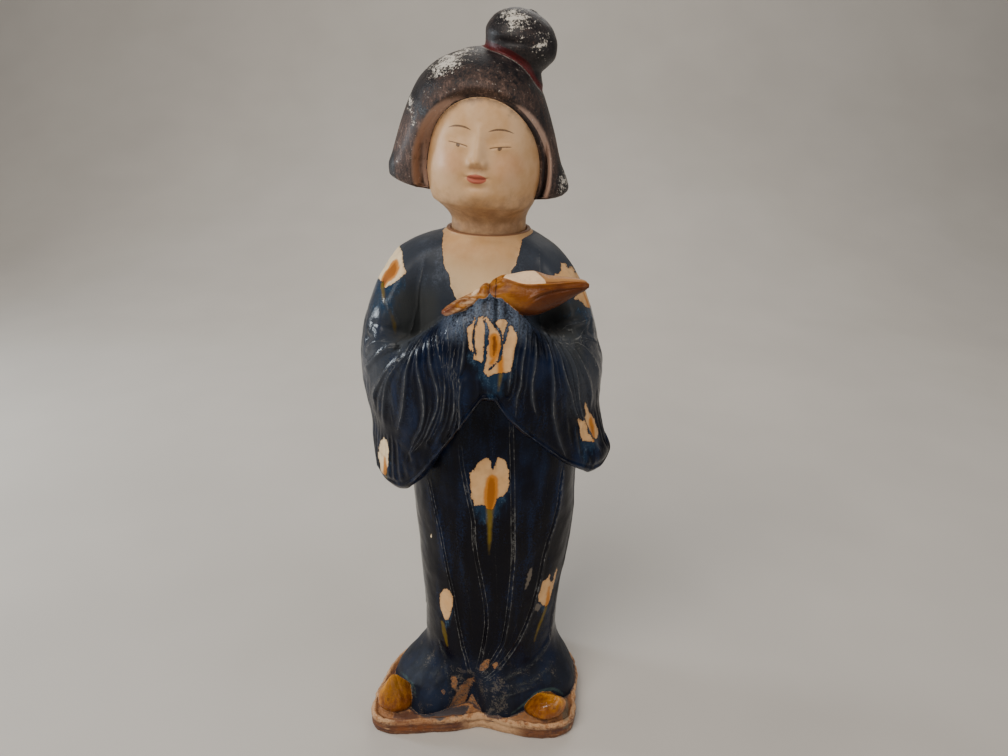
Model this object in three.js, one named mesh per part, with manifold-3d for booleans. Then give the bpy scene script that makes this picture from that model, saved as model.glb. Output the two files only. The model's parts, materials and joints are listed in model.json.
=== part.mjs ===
// A glazed earthenware court attendant: a standing woman in a wide-sleeved robe, with both hands
// drawn into the sleeves and a wrapped bundle lying on them.
//
// Two fired pieces. The robed figure is one piece with its foot plate, shoes and bundle. The head is
// a second piece, whose neck drops into a socket in the collar.
//
// Millimetres, +Z up. The figure looks along -Y, and +X is on the viewer's right. The origin lies on
// the underside of the foot plate, below the middle of the figure.

import * as THREE from "three";
import { mergeVertices } from "three/addons/utils/BufferGeometryUtils.js";
import Module from "manifold-3d";

const wasm = await Module();
wasm.setup();

// Driving dimensions
const FIGURE_HEIGHT = 467; // from the top of the foot plate to the top of the topknot
const PLATE_THICKNESS = 13;
const PLATE_MARGIN = 9; // how far the plate reaches past the hem
const PLATE_BEVEL = 2.5;
const NECK_RADIUS = 22.4; // where it enters the collar
const NECK_CLEARANCE = 0.6; // all round, between the neck and its socket
const COLLAR_WALL = 2.4;
const COLLAR_LIP = 1.8; // how far the collar's rim stands up
const SOCKET_DEPTH = 20;
const SEAT_GAP = 0.4; // between the neck's end and the socket's floor
const SUNK = 5; // how deep one lump of clay is pressed into the next

// Angles run round an upright axis, in degrees: 0 faces the viewer and 90 is the viewer's right.
const PLEATS = [-64, -34, 14, 44, 66]; // the skirt's pleats, where they leave the waist
const PLEAT_DEPTH = 1.3;
const SLEEVE_FOLD_HEIGHT = 1.7;
const HEAD_TILT = 3.5; // towards the viewer's right
const HEAD_TURN = 6; // towards the viewer's left
const TOPKNOT_TILT = 19;

// Mesh fineness
const ROBE_COLUMNS = 80;
const SKIRT_ROWS = 11;
const SLEEVE_ROWS = 9;
const CHEST_ROWS = 7;
const FACE_COLUMNS = 40;
const NECK_COLUMNS = 32;
const HAIR_COLUMNS = 40;
const TOPKNOT_COLUMNS = 18;

// The figure's forms are read on a figure of this height and grow with FIGURE_HEIGHT. The heights of
// their stations are counted from the top of the plate.
const DRAWN_HEIGHT = 467;
const grown = (value) => (value * FIGURE_HEIGHT) / DRAWN_HEIGHT;

const DEG = Math.PI / 180;
const sin = (degrees) => Math.sin(degrees * DEG);
const cos = (degrees) => Math.cos(degrees * DEG);
const clamp01 = (x) => Math.min(1, Math.max(0, x));
const mix = (a, b, t) => a + (b - a) * t;
const bell = (x, middle, width) => Math.exp(-(((x - middle) / width) ** 2));

// 0 at a and before it, 1 at b and past it. It also runs downhill, when a is above b.
function step(a, b, x) {
  const t = clamp01((x - a) / (b - a));
  return t * t * (3 - 2 * t);
}

// A smooth line through [position, value] stations, level beyond both ends.
function curve(stations) {
  const slope = (i) => {
    const [before, here, after] = [stations[i - 1], stations[i], stations[i + 1]];
    if (!before || !after) return 0;
    const left = (here[1] - before[1]) / (here[0] - before[0]);
    const right = (after[1] - here[1]) / (after[0] - here[0]);
    return left * right <= 0 ? 0 : (2 * left * right) / (left + right);
  };
  const last = stations.length - 1;
  return (x) => {
    if (x <= stations[0][0]) return stations[0][1];
    if (x >= stations[last][0]) return stations[last][1];
    const i = stations.findIndex((station) => station[0] > x) - 1;
    const [[x0, y0], [x1, y1]] = [stations[i], stations[i + 1]];
    const span = x1 - x0;
    const t = (x - x0) / span;
    const end = t * t * (3 - 2 * t);
    const leaving = t * (1 - t) * (1 - t);
    const arriving = t * t * (t - 1);
    return mix(y0, y1, end) + span * (slope(i) * leaving + slope(i + 1) * arriving);
  };
}

// A closed skin of rings, from the bottom ring to the top one. place(column, row) gives a point, and
// each end is closed by a fan to the middle of its ring.
function skin(columns, rows, place) {
  const points = [];
  const triangles = [];
  const at = (column, row) => row * columns + (column % columns);
  for (let row = 0; row < rows; row += 1) {
    for (let column = 0; column < columns; column += 1) points.push(...place(column, row));
  }
  const apart = (i, j) =>
    Math.hypot(...[0, 1, 2].map((axis) => points[3 * i + axis] - points[3 * j + axis]));
  for (let row = 0; row + 1 < rows; row += 1) {
    for (let column = 0; column < columns; column += 1) {
      const [a, b] = [at(column, row), at(column + 1, row)];
      const [c, d] = [at(column + 1, row + 1), at(column, row + 1)];
      if (apart(a, c) < apart(b, d)) triangles.push(a, b, c, a, c, d);
      else triangles.push(a, b, d, b, c, d);
    }
  }
  const middle = (row) => {
    const sum = [0, 0, 0];
    for (let column = 0; column < columns; column += 1) {
      for (let axis = 0; axis < 3; axis += 1) sum[axis] += points[at(column, row) * 3 + axis] / columns;
    }
    points.push(...sum);
    return points.length / 3 - 1;
  };
  const [bottom, top] = [middle(0), middle(rows - 1)];
  for (let column = 0; column < columns; column += 1) {
    triangles.push(bottom, at(column + 1, 0), at(column, 0));
    triangles.push(top, at(column, rows - 1), at(column + 1, rows - 1));
  }
  const geometry = new THREE.BufferGeometry();
  geometry.setAttribute("position", new THREE.Float32BufferAttribute(points, 3));
  geometry.setIndex(triangles);
  return geometry;
}

// The angle of a column. Columns stand closer together at the front, where the carving is.
function columnAngle(column, columns, crowding) {
  const turn = (360 * column) / columns;
  const angle = turn - (crowding / DEG) * sin(turn);
  return angle > 180 ? angle - 360 : angle;
}

function solidOf(geometry) {
  const bare = geometry.clone();
  bare.deleteAttribute("normal");
  bare.deleteAttribute("uv");
  const merged = mergeVertices(bare, 1e-4);
  return new wasm.Manifold(
    new wasm.Mesh({
      numProp: 3,
      vertProperties: merged.getAttribute("position").array,
      triVerts: new Uint32Array(merged.index.array),
    }),
  );
}

function geometryOf(solid) {
  const mesh = solid.getMesh();
  const geometry = new THREE.BufferGeometry();
  geometry.setAttribute("position", new THREE.Float32BufferAttribute(mesh.vertProperties, 3));
  geometry.setIndex(Array.from(mesh.triVerts));
  geometry.computeVertexNormals();
  return geometry;
}

// A point on a rounded outline that has its own reach to the left, right, front and back.
function outline(form, angle, z) {
  const [side, ahead] = [sin(angle), cos(angle)];
  const wide = side > 0 ? form.right(z) : form.left(z);
  const deep = ahead > 0 ? form.front(z) : form.back(z);
  const point = ahead > 0 ? form.point : 1;
  return [wide * side, form.middle(z) - deep * Math.sign(ahead) * Math.abs(ahead) ** point];
}

// Pushes a point away from the upright axis.
function push([x, y], distance) {
  const reach = Math.hypot(x, y) || 1;
  return [x * (1 + distance / reach), y * (1 + distance / reach)];
}

const blend = (a, b, t) => [mix(a[0], b[0], t), mix(a[1], b[1], t)];
const grownPoint = ([x, y], z) => [grown(x), grown(y), grown(z)];

// The trunk under the sleeves: skirt, waist, chest and shoulders.
const trunk = {
  left: curve([[-6, 57], [5, 54], [16, 48.5], [28, 45], [45, 43.5], [100, 46.5], [152, 50], [200, 53],
    [250, 60], [288, 74], [305, 72.5], [321, 65], [333, 56], [340, 43], [345, 28]]),
  right: curve([[-6, 65], [9, 63], [19, 60], [38, 55], [48, 53], [86, 55], [121, 59], [155, 60.5], [200, 60],
    [250, 62], [288, 66], [299, 63.5], [313, 57.5], [327, 49], [336, 40.5], [341, 32], [345, 26]]),
  front: curve([[-6, 44], [15, 41], [35, 38], [60, 37], [100, 38], [150, 41], [200, 43], [250, 42],
    [290, 37], [318, 33], [335, 29], [345, 26]]),
  back: curve([[-6, 50], [15, 46], [35, 42], [60, 40], [100, 42], [150, 45], [200, 48], [250, 50],
    [290, 49], [310, 45], [325, 38], [336, 31], [345, 26]]),
  middle: () => 0,
  point: 1,
};

// The outer form of the sleeves, from their hanging edge to the shoulders.
const sleeves = {
  left: curve([[185, 68], [194, 72.5], [211, 73], [226, 73.5], [240, 76], [255, 78.5], [272, 79], [288, 77.5], [305, 72.5],
    [321, 65], [333, 56], [340, 43], [345, 28]]),
  right: curve([[198, 77], [209, 80], [219, 76], [232, 73], [244, 71], [266, 70.5], [282, 67.5], [299, 63.5],
    [313, 57.5], [327, 49], [336, 40.5], [341, 32], [345, 26]]),
  front: curve([[187, 36], [214, 43], [264, 55], [300, 62], [326, 64]]),
  back: curve([[187, 62], [264, 66], [300, 58], [325, 40], [345, 26]]),
  middle: curve([[187, -21], [230, -20], [280, -17], [320, -10], [345, 0]]),
  point: 1.15,
};
const upperArms = { ...sleeves, front: curve([[286, 60], [300, 55], [318, 44], [334, 33], [345, 26]]) };

// The sleeves' hanging edge and the top of the forearms, by angle. A crook of the elbow lies on each
// side, where the forearm meets the upper arm.
const hangingEdge = curve([[-180, 236], [-135, 229], [-98, 198], [-82, 187], [-70, 184.5], [-58, 184.5],
  [-48, 187], [-40, 192.5], [-35, 199], [-27, 213], [-20, 226], [-13, 239], [-5, 256], [-1, 263.5], [4, 263],
  [8, 255], [13, 247], [23, 233.5], [33, 221], [38, 214.5], [44, 208.5], [52, 203], [60, 199.5], [70, 199],
  [78, 200.5], [95, 214], [135, 236], [180, 236]]);
const forearmTop = curve([[-180, 297], [-90, 295], [-60, 290], [-47, 290], [-36, 296], [-22, 308],
  [-12, 318], [-5, 323], [3, 325], [11, 322], [19, 314], [30, 303], [42, 296], [56, 294], [90, 295],
  [180, 297]]);
const CROOK_LEFT = -47;
const CROOK_RIGHT = 42;

// Draws the sleeves' folds together at the two crooks.
const pinched = curve([[-180, -180], [-138, -132], [-105, -92], [-76, -60], [-56, -49], [-44, -45],
  [-22, -27], [0, 0], [20, 22], [36, 37], [46, 42], [64, 48], [100, 84], [138, 132], [180, 180]]);

// All of the sleeves shows in front, and none of them behind.
const sleeveShare = (angle) => step(145, 100, Math.abs(angle));
// The upper arms show above the forearms on either side of the chest.
const ARM_EDGE = 13; // half the angle over which the chest turns into the arm
const armShare = (angle) =>
  step(CROOK_LEFT + ARM_EDGE, CROOK_LEFT - ARM_EDGE, angle) +
  step(CROOK_RIGHT - ARM_EDGE, CROOK_RIGHT + ARM_EDGE, angle);

// The skirt narrows its pleats towards the middle of the hem, and spreads over the feet.
const HEM_GATHER = 40;
const PLEAT_WIDTH = 4;
const hemGather = (angle, z) =>
  angle - HEM_GATHER * step(185, 20, z) * sin(angle) * (0.5 + 0.5 * cos(angle));

function pleats(angle, z) {
  const cut = PLEATS.reduce((sum, pleat) => sum + bell(angle, pleat, PLEAT_WIDTH), 0);
  return -PLEAT_DEPTH * cut * step(6, 34, z);
}

// How far the hem spreads past the trunk's outline: over each foot, with a hollow between them.
const hemSpread = curve([[-180, 3], [-140, 3], [-110, 6], [-84, 13], [-60, 15], [-38, 18], [-30, 10],
  [-22, -3], [-12, -8], [-4, -4], [5, 5], [13, 6], [26, 3], [46, 7], [64, 9], [86, 6], [120, 4], [180, 3]]);

// The skirt, from below the plate's top up to the inner side of the sleeves' edge.
const LIP = 9; // how far the sleeves' edge hangs below their underside
const SPREAD_FROM = 38; // the height at which the hem starts to spread
const SPREAD_TO = 8;
function skirtPoint(angle, t) {
  const top = hangingEdge(angle) + LIP * sleeveShare(angle);
  const z = mix(-SUNK, top, t ** 1.3);
  const drawn = hemGather(angle, z);
  const carving = pleats(angle, z) + hemSpread(drawn) * step(SPREAD_FROM, SPREAD_TO, z);
  return grownPoint(push(outline(trunk, drawn, z), carving), z);
}

// The underside of the sleeves. t runs outwards to their edge.
function lipPoint(angle, t) {
  const share = sleeveShare(angle);
  const z = hangingEdge(angle) + LIP * share * (1 - t) ** 2;
  return grownPoint(blend(outline(trunk, angle, z), outline(sleeves, angle, z), 0.95 * t * share), z);
}

// The folds ride on the columns: every fourth one is a crest. They die out round the back, at the
// sleeves' edge and on top of the forearms.
const FOLD_COLUMNS = 4;
function sleeveFold(column, angle, t) {
  const wave = cos((360 * (column + FOLD_COLUMNS / 2)) / FOLD_COLUMNS);
  const fade = step(112, 84, Math.abs(angle)) * step(0, 0.15, t) * step(1, 0.85, t);
  return SLEEVE_FOLD_HEIGHT * wave * fade;
}

// The hanging face of the sleeves, from their edge to the rounded top of the forearms.
const FOREARM_ROUND = 13;
const ROUND_FROM = 0.7; // the share of the sleeve's height at which the forearm starts to turn over
const EDGE_THICKNESS = 2;
function sleevePoint(angle, t, column) {
  const drawn = mix(angle, pinched(angle), step(0, 1, t));
  const z = mix(hangingEdge(angle) + EDGE_THICKNESS, forearmTop(drawn), t);
  const share = sleeveShare(drawn);
  const over = clamp01((t - ROUND_FROM) / (1 - ROUND_FROM));
  const rounding = FOREARM_ROUND * (1 - Math.sqrt(1 - 0.9 * over * over)) * (1 - armShare(drawn));
  const face = push(outline(sleeves, drawn, z), sleeveFold(column, angle, t) - rounding);
  return grownPoint(blend(outline(trunk, drawn, z), face, share), z);
}

// The chest and shoulders, from behind the forearms up to the collar.
const CHEST_BELOW = 8; // how far the chest goes on behind the forearms' top
const ARM_ABOVE = 4; // the upper arms' first row above the sleeves' last one
const CROOK_DEPTH = 9;
const NECK_BASE = 345;
function chestPoint(angle, t) {
  const drawn = mix(pinched(angle), angle, step(0.1, 1, t));
  const arm = armShare(drawn);
  const z = mix(forearmTop(drawn) + mix(-CHEST_BELOW, ARM_ABOVE, arm), NECK_BASE, t);
  const form = blend(outline(trunk, drawn, z), outline(upperArms, drawn, z), arm * sleeveShare(drawn));
  const crooks = bell(drawn, CROOK_LEFT + 2, 10) + bell(drawn, CROOK_RIGHT - 2, 10);
  return grownPoint(push(form, -CROOK_DEPTH * crooks * step(330, 296, z)), z);
}

// The collar's rim and the socket inside it, ring by ring. The neck stands a little off the axis.
const COLLAR_X = grown(-1.5);
const COLLAR_Z = grown(NECK_BASE);
const SOCKET_RADIUS = NECK_RADIUS + NECK_CLEARANCE;
const SOCKET_FLOOR = COLLAR_Z + COLLAR_LIP - SOCKET_DEPTH;
const COLLAR_RINGS = [
  [SOCKET_RADIUS + COLLAR_WALL, COLLAR_Z],
  [SOCKET_RADIUS + COLLAR_WALL, COLLAR_Z + COLLAR_LIP],
  [SOCKET_RADIUS, COLLAR_Z + COLLAR_LIP],
  [SOCKET_RADIUS, SOCKET_FLOOR],
];
const ringPoint = (angle, radius, z) => [COLLAR_X + radius * sin(angle), -radius * cos(angle), z];

// The robed figure's skin: its rows, from the hem to the floor of the neck's socket.
function robeGeometry() {
  const parts = (count) => Array.from({ length: count }, (_, i) => i / (count - 1));
  const rows = [
    ...parts(SKIRT_ROWS).map((t) => (angle) => skirtPoint(angle, t)),
    ...[0.5, 1].map((t) => (angle) => lipPoint(angle, t)),
    ...parts(SLEEVE_ROWS).map((t) => (angle, column) => sleevePoint(angle, t, column)),
    ...parts(CHEST_ROWS).slice(0, -1).map((t) => (angle) => chestPoint(angle, t)),
    ...COLLAR_RINGS.map(([radius, z]) => (angle) => ringPoint(angle, radius, z)),
  ];
  return skin(ROBE_COLUMNS, rows.length, (column, row) =>
    rows[row](columnAngle(column, ROBE_COLUMNS, 0.4), column),
  );
}

// The foot plate follows the hem with its margin, and swells under the two shoes.
const PLATE_CORNERS = 48;
function plateReach(angle) {
  const left = 27 * bell(angle, -54, 25) + 7 * bell(angle, -48, 11) + 6 * bell(angle, -92, 16);
  const swell = left + 19 * bell(angle, 39, 20) - 5 * bell(angle, 0, 12);
  return grownPoint(push(outline(trunk, angle, 0), swell), 0);
}
function plateGeometry() {
  const shape = new THREE.Shape();
  for (let corner = 0; corner < PLATE_CORNERS; corner += 1) {
    const [x, y] = push(plateReach(columnAngle(corner, PLATE_CORNERS, 0.3)), PLATE_MARGIN - PLATE_BEVEL);
    if (corner === 0) shape.moveTo(x, y);
    else shape.lineTo(x, y);
  }
  shape.closePath();
  const settings = {
    depth: PLATE_THICKNESS - 2 * PLATE_BEVEL,
    bevelThickness: PLATE_BEVEL,
    bevelSize: PLATE_BEVEL,
    bevelSegments: 2,
  };
  return new THREE.ExtrudeGeometry(shape, settings).translate(0, 0, PLATE_BEVEL - PLATE_THICKNESS);
}

// A shoe's upturned toe, pointing outwards from under the hem.
const SHOES = [
  { x: -60, y: -38, turn: -47, length: 33, width: 22, height: 23 },
  { x: 45, y: -41, turn: 40, length: 34, width: 25, height: 17 },
];
const SHOE_RISE = 0.34; // the height of a shoe's middle, as a share of the shoe's own
function shoeGeometry({ x, y, turn, length, width, height }) {
  const columns = 14;
  const rows = 8;
  const shoe = skin(columns, rows, (column, row) => {
    const along = 180 * ((row + 0.5) / rows);
    const around = (360 * column) / columns;
    const ahead = -cos(along);
    const blunt = sin(along) ** 0.8;
    const upturn = Math.max(0, 0.25 * ahead);
    const aside = -0.5 * width * blunt * sin(around);
    return grownPoint([aside, -0.5 * length * ahead], height * (0.5 * blunt * cos(around) + upturn));
  });
  return shoe.rotateZ(turn * DEG).translate(...[x, y, SHOE_RISE * height].map(grown));
}

// The wrapped bundle: a tail on the viewer's left, a tied neck, a full body and a pointed end.
const BUNDLE_FROM = -24;
const BUNDLE_TO = 55;
const bundle = {
  rise: curve([[-24, 315.5], [-16, 318], [-8, 320.5], [-3, 322.5], [6, 322.5], [20, 320.5], [36, 323],
    [54.5, 328]]),
  depth: curve([[-24, -73], [-12, -68], [-3, -62], [14, -56], [36, -56], [55, -59]]),
  thick: curve([[-24, 1.8], [-19, 3.4], [-8, 4.4], [-3, 5], [3, 7.4], [14, 11], [26, 11.4], [36, 9],
    [48, 4.8], [55, 1.5]]),
};
function bundleGeometry() {
  const columns = 16;
  const rows = 16;
  return skin(columns, rows, (column, row) => {
    const x = mix(BUNDLE_FROM, BUNDLE_TO, row / (rows - 1));
    const around = (360 * column) / columns;
    const lip = 1 + 0.12 * bell(around, 60, 16) * step(0, 8, x);
    const radius = bundle.thick(x) * lip;
    return grownPoint([x, bundle.depth(x) - radius * sin(around)], bundle.rise(x) + radius * cos(around));
  });
}

// The head's own forms are drawn about its middle, upright and looking straight ahead.
const HEAD_RISE = 50; // from the collar to the head's middle
const HEAD_MIDDLE = [-3, -8, NECK_BASE + HEAD_RISE].map(grown);
const NECK_BOTTOM = SOCKET_FLOOR + SEAT_GAP;
const cheek = curve([[-44, 20], [-36, 26.5], [-26, 31], [-13, 33], [0, 32], [14, 29.5], [28, 24], [38, 14]]);
const face = {
  left: cheek,
  right: cheek,
  front: curve([[-44, 13], [-36, 23], [-29, 30], [-20, 33.5], [-10, 35], [2, 35], [16, 33.5], [28, 29],
    [38, 20]]),
  back: curve([[-44, 18], [-24, 28], [0, 32], [20, 30], [38, 18]]),
  middle: () => 0,
  point: 0.9,
};

// A calm, regular face: eye sockets, nose, closed mouth, chin and full cheeks.
const noseHeight = curve([[-9, 0], [-5, 5.2], [0, 3.9], [10, 1], [15, 0]]);
function faceRelief(x, z) {
  const nose = noseHeight(z) * bell(x, 0, 3.8 - 0.12 * z);
  const sockets = -1.3 * bell(Math.abs(x), 10, 7) * bell(z, 6, 4);
  const lips = 1.5 * (bell(z, -12.5, 1.8) + bell(z, -16.5, 2)) - 0.8 * bell(z, -14.5, 1);
  const chin = 1.6 * bell(x, 0, 8) * bell(z, -24, 4);
  const cheeks = 1.2 * bell(Math.abs(x), 15, 8) * bell(z, -9, 9);
  return nose + sockets + lips * bell(x, 0, 6) + chin + cheeks;
}
const FACE_ROWS = [-44, -37, -31, -27, -23, -20, -18, -16.5, -14.5, -12.5, -10, -7, -4, 0, 4, 8, 13, 20, 29,
  38];
function faceGeometry() {
  return skin(FACE_COLUMNS, FACE_ROWS.length, (column, row) => {
    const angle = columnAngle(column, FACE_COLUMNS, 0.55);
    const z = FACE_ROWS[row];
    const [x, y] = outline(face, angle, z);
    return grownPoint([x, y - faceRelief(x, z) * step(75, 50, Math.abs(angle))], z);
  });
}

// The hair: a full bell that ends in two wings beside the cheeks, drawn up to the topknot.
const hair = {
  left: curve([[-26, 40], [-25, 51], [-21, 57], [-9, 55], [11, 49.5], [31, 41.5], [42, 31.5], [48, 20],
    [52, 7]]),
  right: curve([[-26, 38], [-25, 46], [-20, 49], [-6, 43], [10, 37.5], [26, 31], [34, 27], [46, 18],
    [52, 7]]),
  front: curve([[-28, 27], [0, 34], [22, 37], [31, 37], [40, 31], [47, 20], [51, 7]]),
  back: curve([[-28, 30], [-22, 37], [-8, 43], [10, 44], [28, 39], [42, 26], [48, 15], [51, 6]]),
  middle: () => 2,
  point: 1,
};
const HAIR_ROWS = [-26, -25, -21, -15, -6, 5, 16, 26, 35, 42, 48, 52];
const STRAND_COLUMNS = 4;
const STRAND_HEIGHT = 0.7;
function hairGeometry() {
  return skin(HAIR_COLUMNS, HAIR_ROWS.length, (column, row) => {
    const angle = columnAngle(column, HAIR_COLUMNS, 0.15);
    const z = HAIR_ROWS[row];
    const shown = step(-25, -21, z) * step(42, 35, z);
    const combed = STRAND_HEIGHT * cos((360 * column) / STRAND_COLUMNS) * shown;
    return grownPoint(push(outline(hair, angle, z), combed), z);
  });
}

// The opening that frames the face, cut out of the hair.
const OPENING_REACH = [38, 40, 44];
const OPENING_MIDDLE = [0, -45, -14];
function faceOpening() {
  const opening = new THREE.SphereGeometry(1, 36, 24).rotateX(90 * DEG);
  return opening.scale(...OPENING_REACH.map(grown)).translate(...OPENING_MIDDLE.map(grown));
}

// The topknot: a rounded knot above a drawn-in neck, where a ribbon binds it.
const TOPKNOT_FOOT = [8.5, 2, 38];
const topknot = curve([[-6, 22], [2, 20.5], [6, 18], [8.5, 16.8], [12, 18.3], [18, 20.5], [24, 19], [30, 14],
  [34, 7]]);
const TOPKNOT_FLARE = 5.5; // on the viewer's left, where the knot's foot spreads over the hair
const TOPKNOT_ROWS = [-6, 2, 6, 8.5, 12, 15, 19, 24, 28, 31, 34];
function topknotGeometry() {
  const knot = skin(TOPKNOT_COLUMNS, TOPKNOT_ROWS.length, (column, row) => {
    const angle = (360 * column) / TOPKNOT_COLUMNS;
    const z = TOPKNOT_ROWS[row];
    const crease = 1.6 * bell(angle, 90, 50) * bell(z, 17, 2.5);
    const flare = TOPKNOT_FLARE * bell(angle, 270, 50) * bell(z, -1, 7);
    const reach = topknot(z) - crease + flare;
    return grownPoint([reach * sin(angle), -0.92 * reach * cos(angle)], z);
  });
  return knot.rotateY(TOPKNOT_TILT * DEG).translate(...TOPKNOT_FOOT.map(grown));
}

// The neck: upright in the socket, and widening into the jaw above it.
const JAW_DROP = 24; // from the head's middle down to where the neck ends inside the jaw
const NECK_FLARE = 1.5;
function neckGeometry() {
  const rim = COLLAR_Z + COLLAR_LIP;
  const jaw = HEAD_MIDDLE[2] - grown(JAW_DROP);
  const rings = [
    [NECK_RADIUS, NECK_BOTTOM],
    [NECK_RADIUS, mix(rim, jaw, 0.4)],
    [NECK_RADIUS + NECK_FLARE, mix(rim, jaw, 0.8)],
    [NECK_RADIUS, jaw],
  ];
  return skin(NECK_COLUMNS, rings.length, (column, row) => {
    const [radius, z] = rings[row];
    return ringPoint((360 * column) / NECK_COLUMNS, radius, z);
  });
}

function robedFigure() {
  const parts = [plateGeometry(), ...SHOES.map(shoeGeometry), bundleGeometry()];
  return parts.reduce((solid, part) => solid.add(solidOf(part)), solidOf(robeGeometry()));
}

function head() {
  const settle = (geometry) =>
    solidOf(geometry.rotateZ(-HEAD_TURN * DEG).rotateY(HEAD_TILT * DEG).translate(...HEAD_MIDDLE));
  const framed = settle(hairGeometry()).subtract(settle(faceOpening()));
  return framed.add(settle(faceGeometry())).add(settle(topknotGeometry())).add(solidOf(neckGeometry()));
}

function piece(name, solid, colour, roughness) {
  const material = new THREE.MeshStandardMaterial({ color: colour, roughness, metalness: 0 });
  const mesh = new THREE.Mesh(geometryOf(solid), material);
  mesh.name = name;
  return mesh;
}

const figure = new THREE.Group();
const standing = new THREE.Group(); // everything above is drawn from the top of the plate
standing.position.z = PLATE_THICKNESS;
standing.add(piece("robed_figure", robedFigure(), 0x1b2638, 0.25));
standing.add(piece("head", head(), 0xd9c3a5, 0.8));
figure.add(standing);

export default figure;
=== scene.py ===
"""Glazed earthenware court attendant: looks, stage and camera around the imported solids."""

import json
import math
from functools import partialmethod

import bpy
import numpy as np
from bpy.props import FloatProperty, FloatVectorProperty, PointerProperty
from bpy.types import Operator, Panel, PropertyGroup
from mathutils import Matrix, Vector, noise
from mathutils.kdtree import KDTree

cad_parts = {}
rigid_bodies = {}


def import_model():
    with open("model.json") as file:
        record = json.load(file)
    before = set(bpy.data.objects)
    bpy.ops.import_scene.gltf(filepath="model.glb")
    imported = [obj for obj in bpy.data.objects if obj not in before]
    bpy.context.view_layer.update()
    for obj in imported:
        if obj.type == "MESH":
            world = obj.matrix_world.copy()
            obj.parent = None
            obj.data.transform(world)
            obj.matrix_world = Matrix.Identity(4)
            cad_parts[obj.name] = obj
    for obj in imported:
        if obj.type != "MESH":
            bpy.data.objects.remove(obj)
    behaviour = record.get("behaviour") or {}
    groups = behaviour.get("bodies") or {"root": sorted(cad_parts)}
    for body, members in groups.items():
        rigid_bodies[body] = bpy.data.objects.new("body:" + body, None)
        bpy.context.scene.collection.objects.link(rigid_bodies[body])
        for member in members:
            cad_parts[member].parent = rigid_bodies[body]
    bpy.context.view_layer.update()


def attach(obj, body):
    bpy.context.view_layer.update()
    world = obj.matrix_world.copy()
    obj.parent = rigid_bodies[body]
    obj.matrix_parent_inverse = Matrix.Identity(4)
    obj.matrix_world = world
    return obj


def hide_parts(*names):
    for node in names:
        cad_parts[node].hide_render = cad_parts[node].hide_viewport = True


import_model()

bl_info = {
    "name": "Glazed Court Attendant",
    "version": (1, 0, 0),
    "blender": (4, 5, 0),
    "location": "View3D > Sidebar > Attendant",
    "description": "Builds a glazed earthenware attendant with a painted head",
    "category": "Object",
}

MM = 0.001
PLATE_TOP = 13.0  # millimetres; the forms' heights are counted from here


def sind(angle):
    return np.sin(np.radians(angle))


def cosd(angle):
    return np.cos(np.radians(angle))


def mix(a, b, t):
    return a + (b - a) * t


def bell(x, middle, width):
    return np.exp(-(((x - middle) / width) ** 2))


def step(a, b, x):
    """0 at a and before it, 1 at b and past it. It runs downhill when a is above b."""
    t = np.clip((x - a) / (b - a), 0, 1)
    return t * t * (3 - 2 * t)


def curve(*stations):
    """A smooth line through (position, value) stations, level beyond both ends."""
    xs, ys = np.array(stations, float).T
    steep = np.diff(ys) / np.diff(xs)
    slope = np.zeros(len(xs))
    left, right = steep[:-1], steep[1:]
    same = left * right > 0
    slope[1:-1][same] = 2 * left[same] * right[same] / (left[same] + right[same])

    def at(x):
        x = np.clip(np.asarray(x, float), xs[0], xs[-1])
        i = np.clip(np.searchsorted(xs, x, side="right") - 1, 0, len(xs) - 2)
        span = xs[i + 1] - xs[i]
        t = (x - xs[i]) / span
        bend = slope[i] * t * (1 - t) ** 2 + slope[i + 1] * t * t * (t - 1)
        return mix(ys[i], ys[i + 1], t * t * (3 - 2 * t)) + span * bend

    return at


class Outline:
    """A rounded outline with its own reach to the left, right, front and back, by height."""

    def __init__(self, left, right, front, back, middle=((0, 0), (1, 0)), point=1.0):
        self.reach = [curve(*side) for side in (left, right, front, back, middle)]
        self.point = point

    def at(self, angle, z):
        left, right, front, back, middle = self.reach
        side, ahead = sind(angle), cosd(angle)
        wide = np.where(side > 0, right(z), left(z))
        deep = np.where(ahead > 0, front(z), back(z))
        power = np.where(ahead > 0, self.point, 1.0)
        return np.stack([wide * side, middle(z) - deep * np.sign(ahead) * np.abs(ahead) ** power], -1)


def push(xy, distance):
    """Points moved away from the upright axis."""
    reach = np.maximum(np.hypot(xy[..., 0], xy[..., 1]), 1e-6)
    return xy * (1 + distance / reach)[..., None]


def raised(xy, z):
    return np.concatenate([xy, np.broadcast_to(z, xy.shape[:-1])[..., None]], -1)


# The robe's forms: (height, reach) stations for each side, in mm above the foot plate's top.
LEFT_SHOULDER = ((305, 72.5), (321, 65), (333, 56), (340, 43), (345, 28))
RIGHT_SHOULDER = ((299, 63.5), (313, 57.5), (327, 49), (336, 40.5), (341, 32), (345, 26))
TRUNK = Outline(
    left=((-6, 57), (5, 54), (16, 48.5), (28, 45), (45, 43.5), (100, 46.5), (152, 50), (200, 53), (250, 60),
          (288, 74), *LEFT_SHOULDER),
    right=((-6, 65), (9, 63), (19, 60), (38, 55), (48, 53), (86, 55), (121, 59), (155, 60.5), (200, 60),
           (250, 62), (288, 66), *RIGHT_SHOULDER),
    front=((-6, 44), (15, 41), (35, 38), (60, 37), (100, 38), (150, 41), (200, 43), (250, 42), (290, 37),
           (318, 33), (335, 29), (345, 26)),
    back=((-6, 50), (15, 46), (35, 42), (60, 40), (100, 42), (150, 45), (200, 48), (250, 50), (290, 49),
          (310, 45), (325, 38), (336, 31), (345, 26)),
)
SLEEVE_LEFT = ((185, 68), (194, 72.5), (211, 73), (226, 73.5), (240, 76), (255, 78.5), (272, 79), (288, 77.5),
               *LEFT_SHOULDER)
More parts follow.
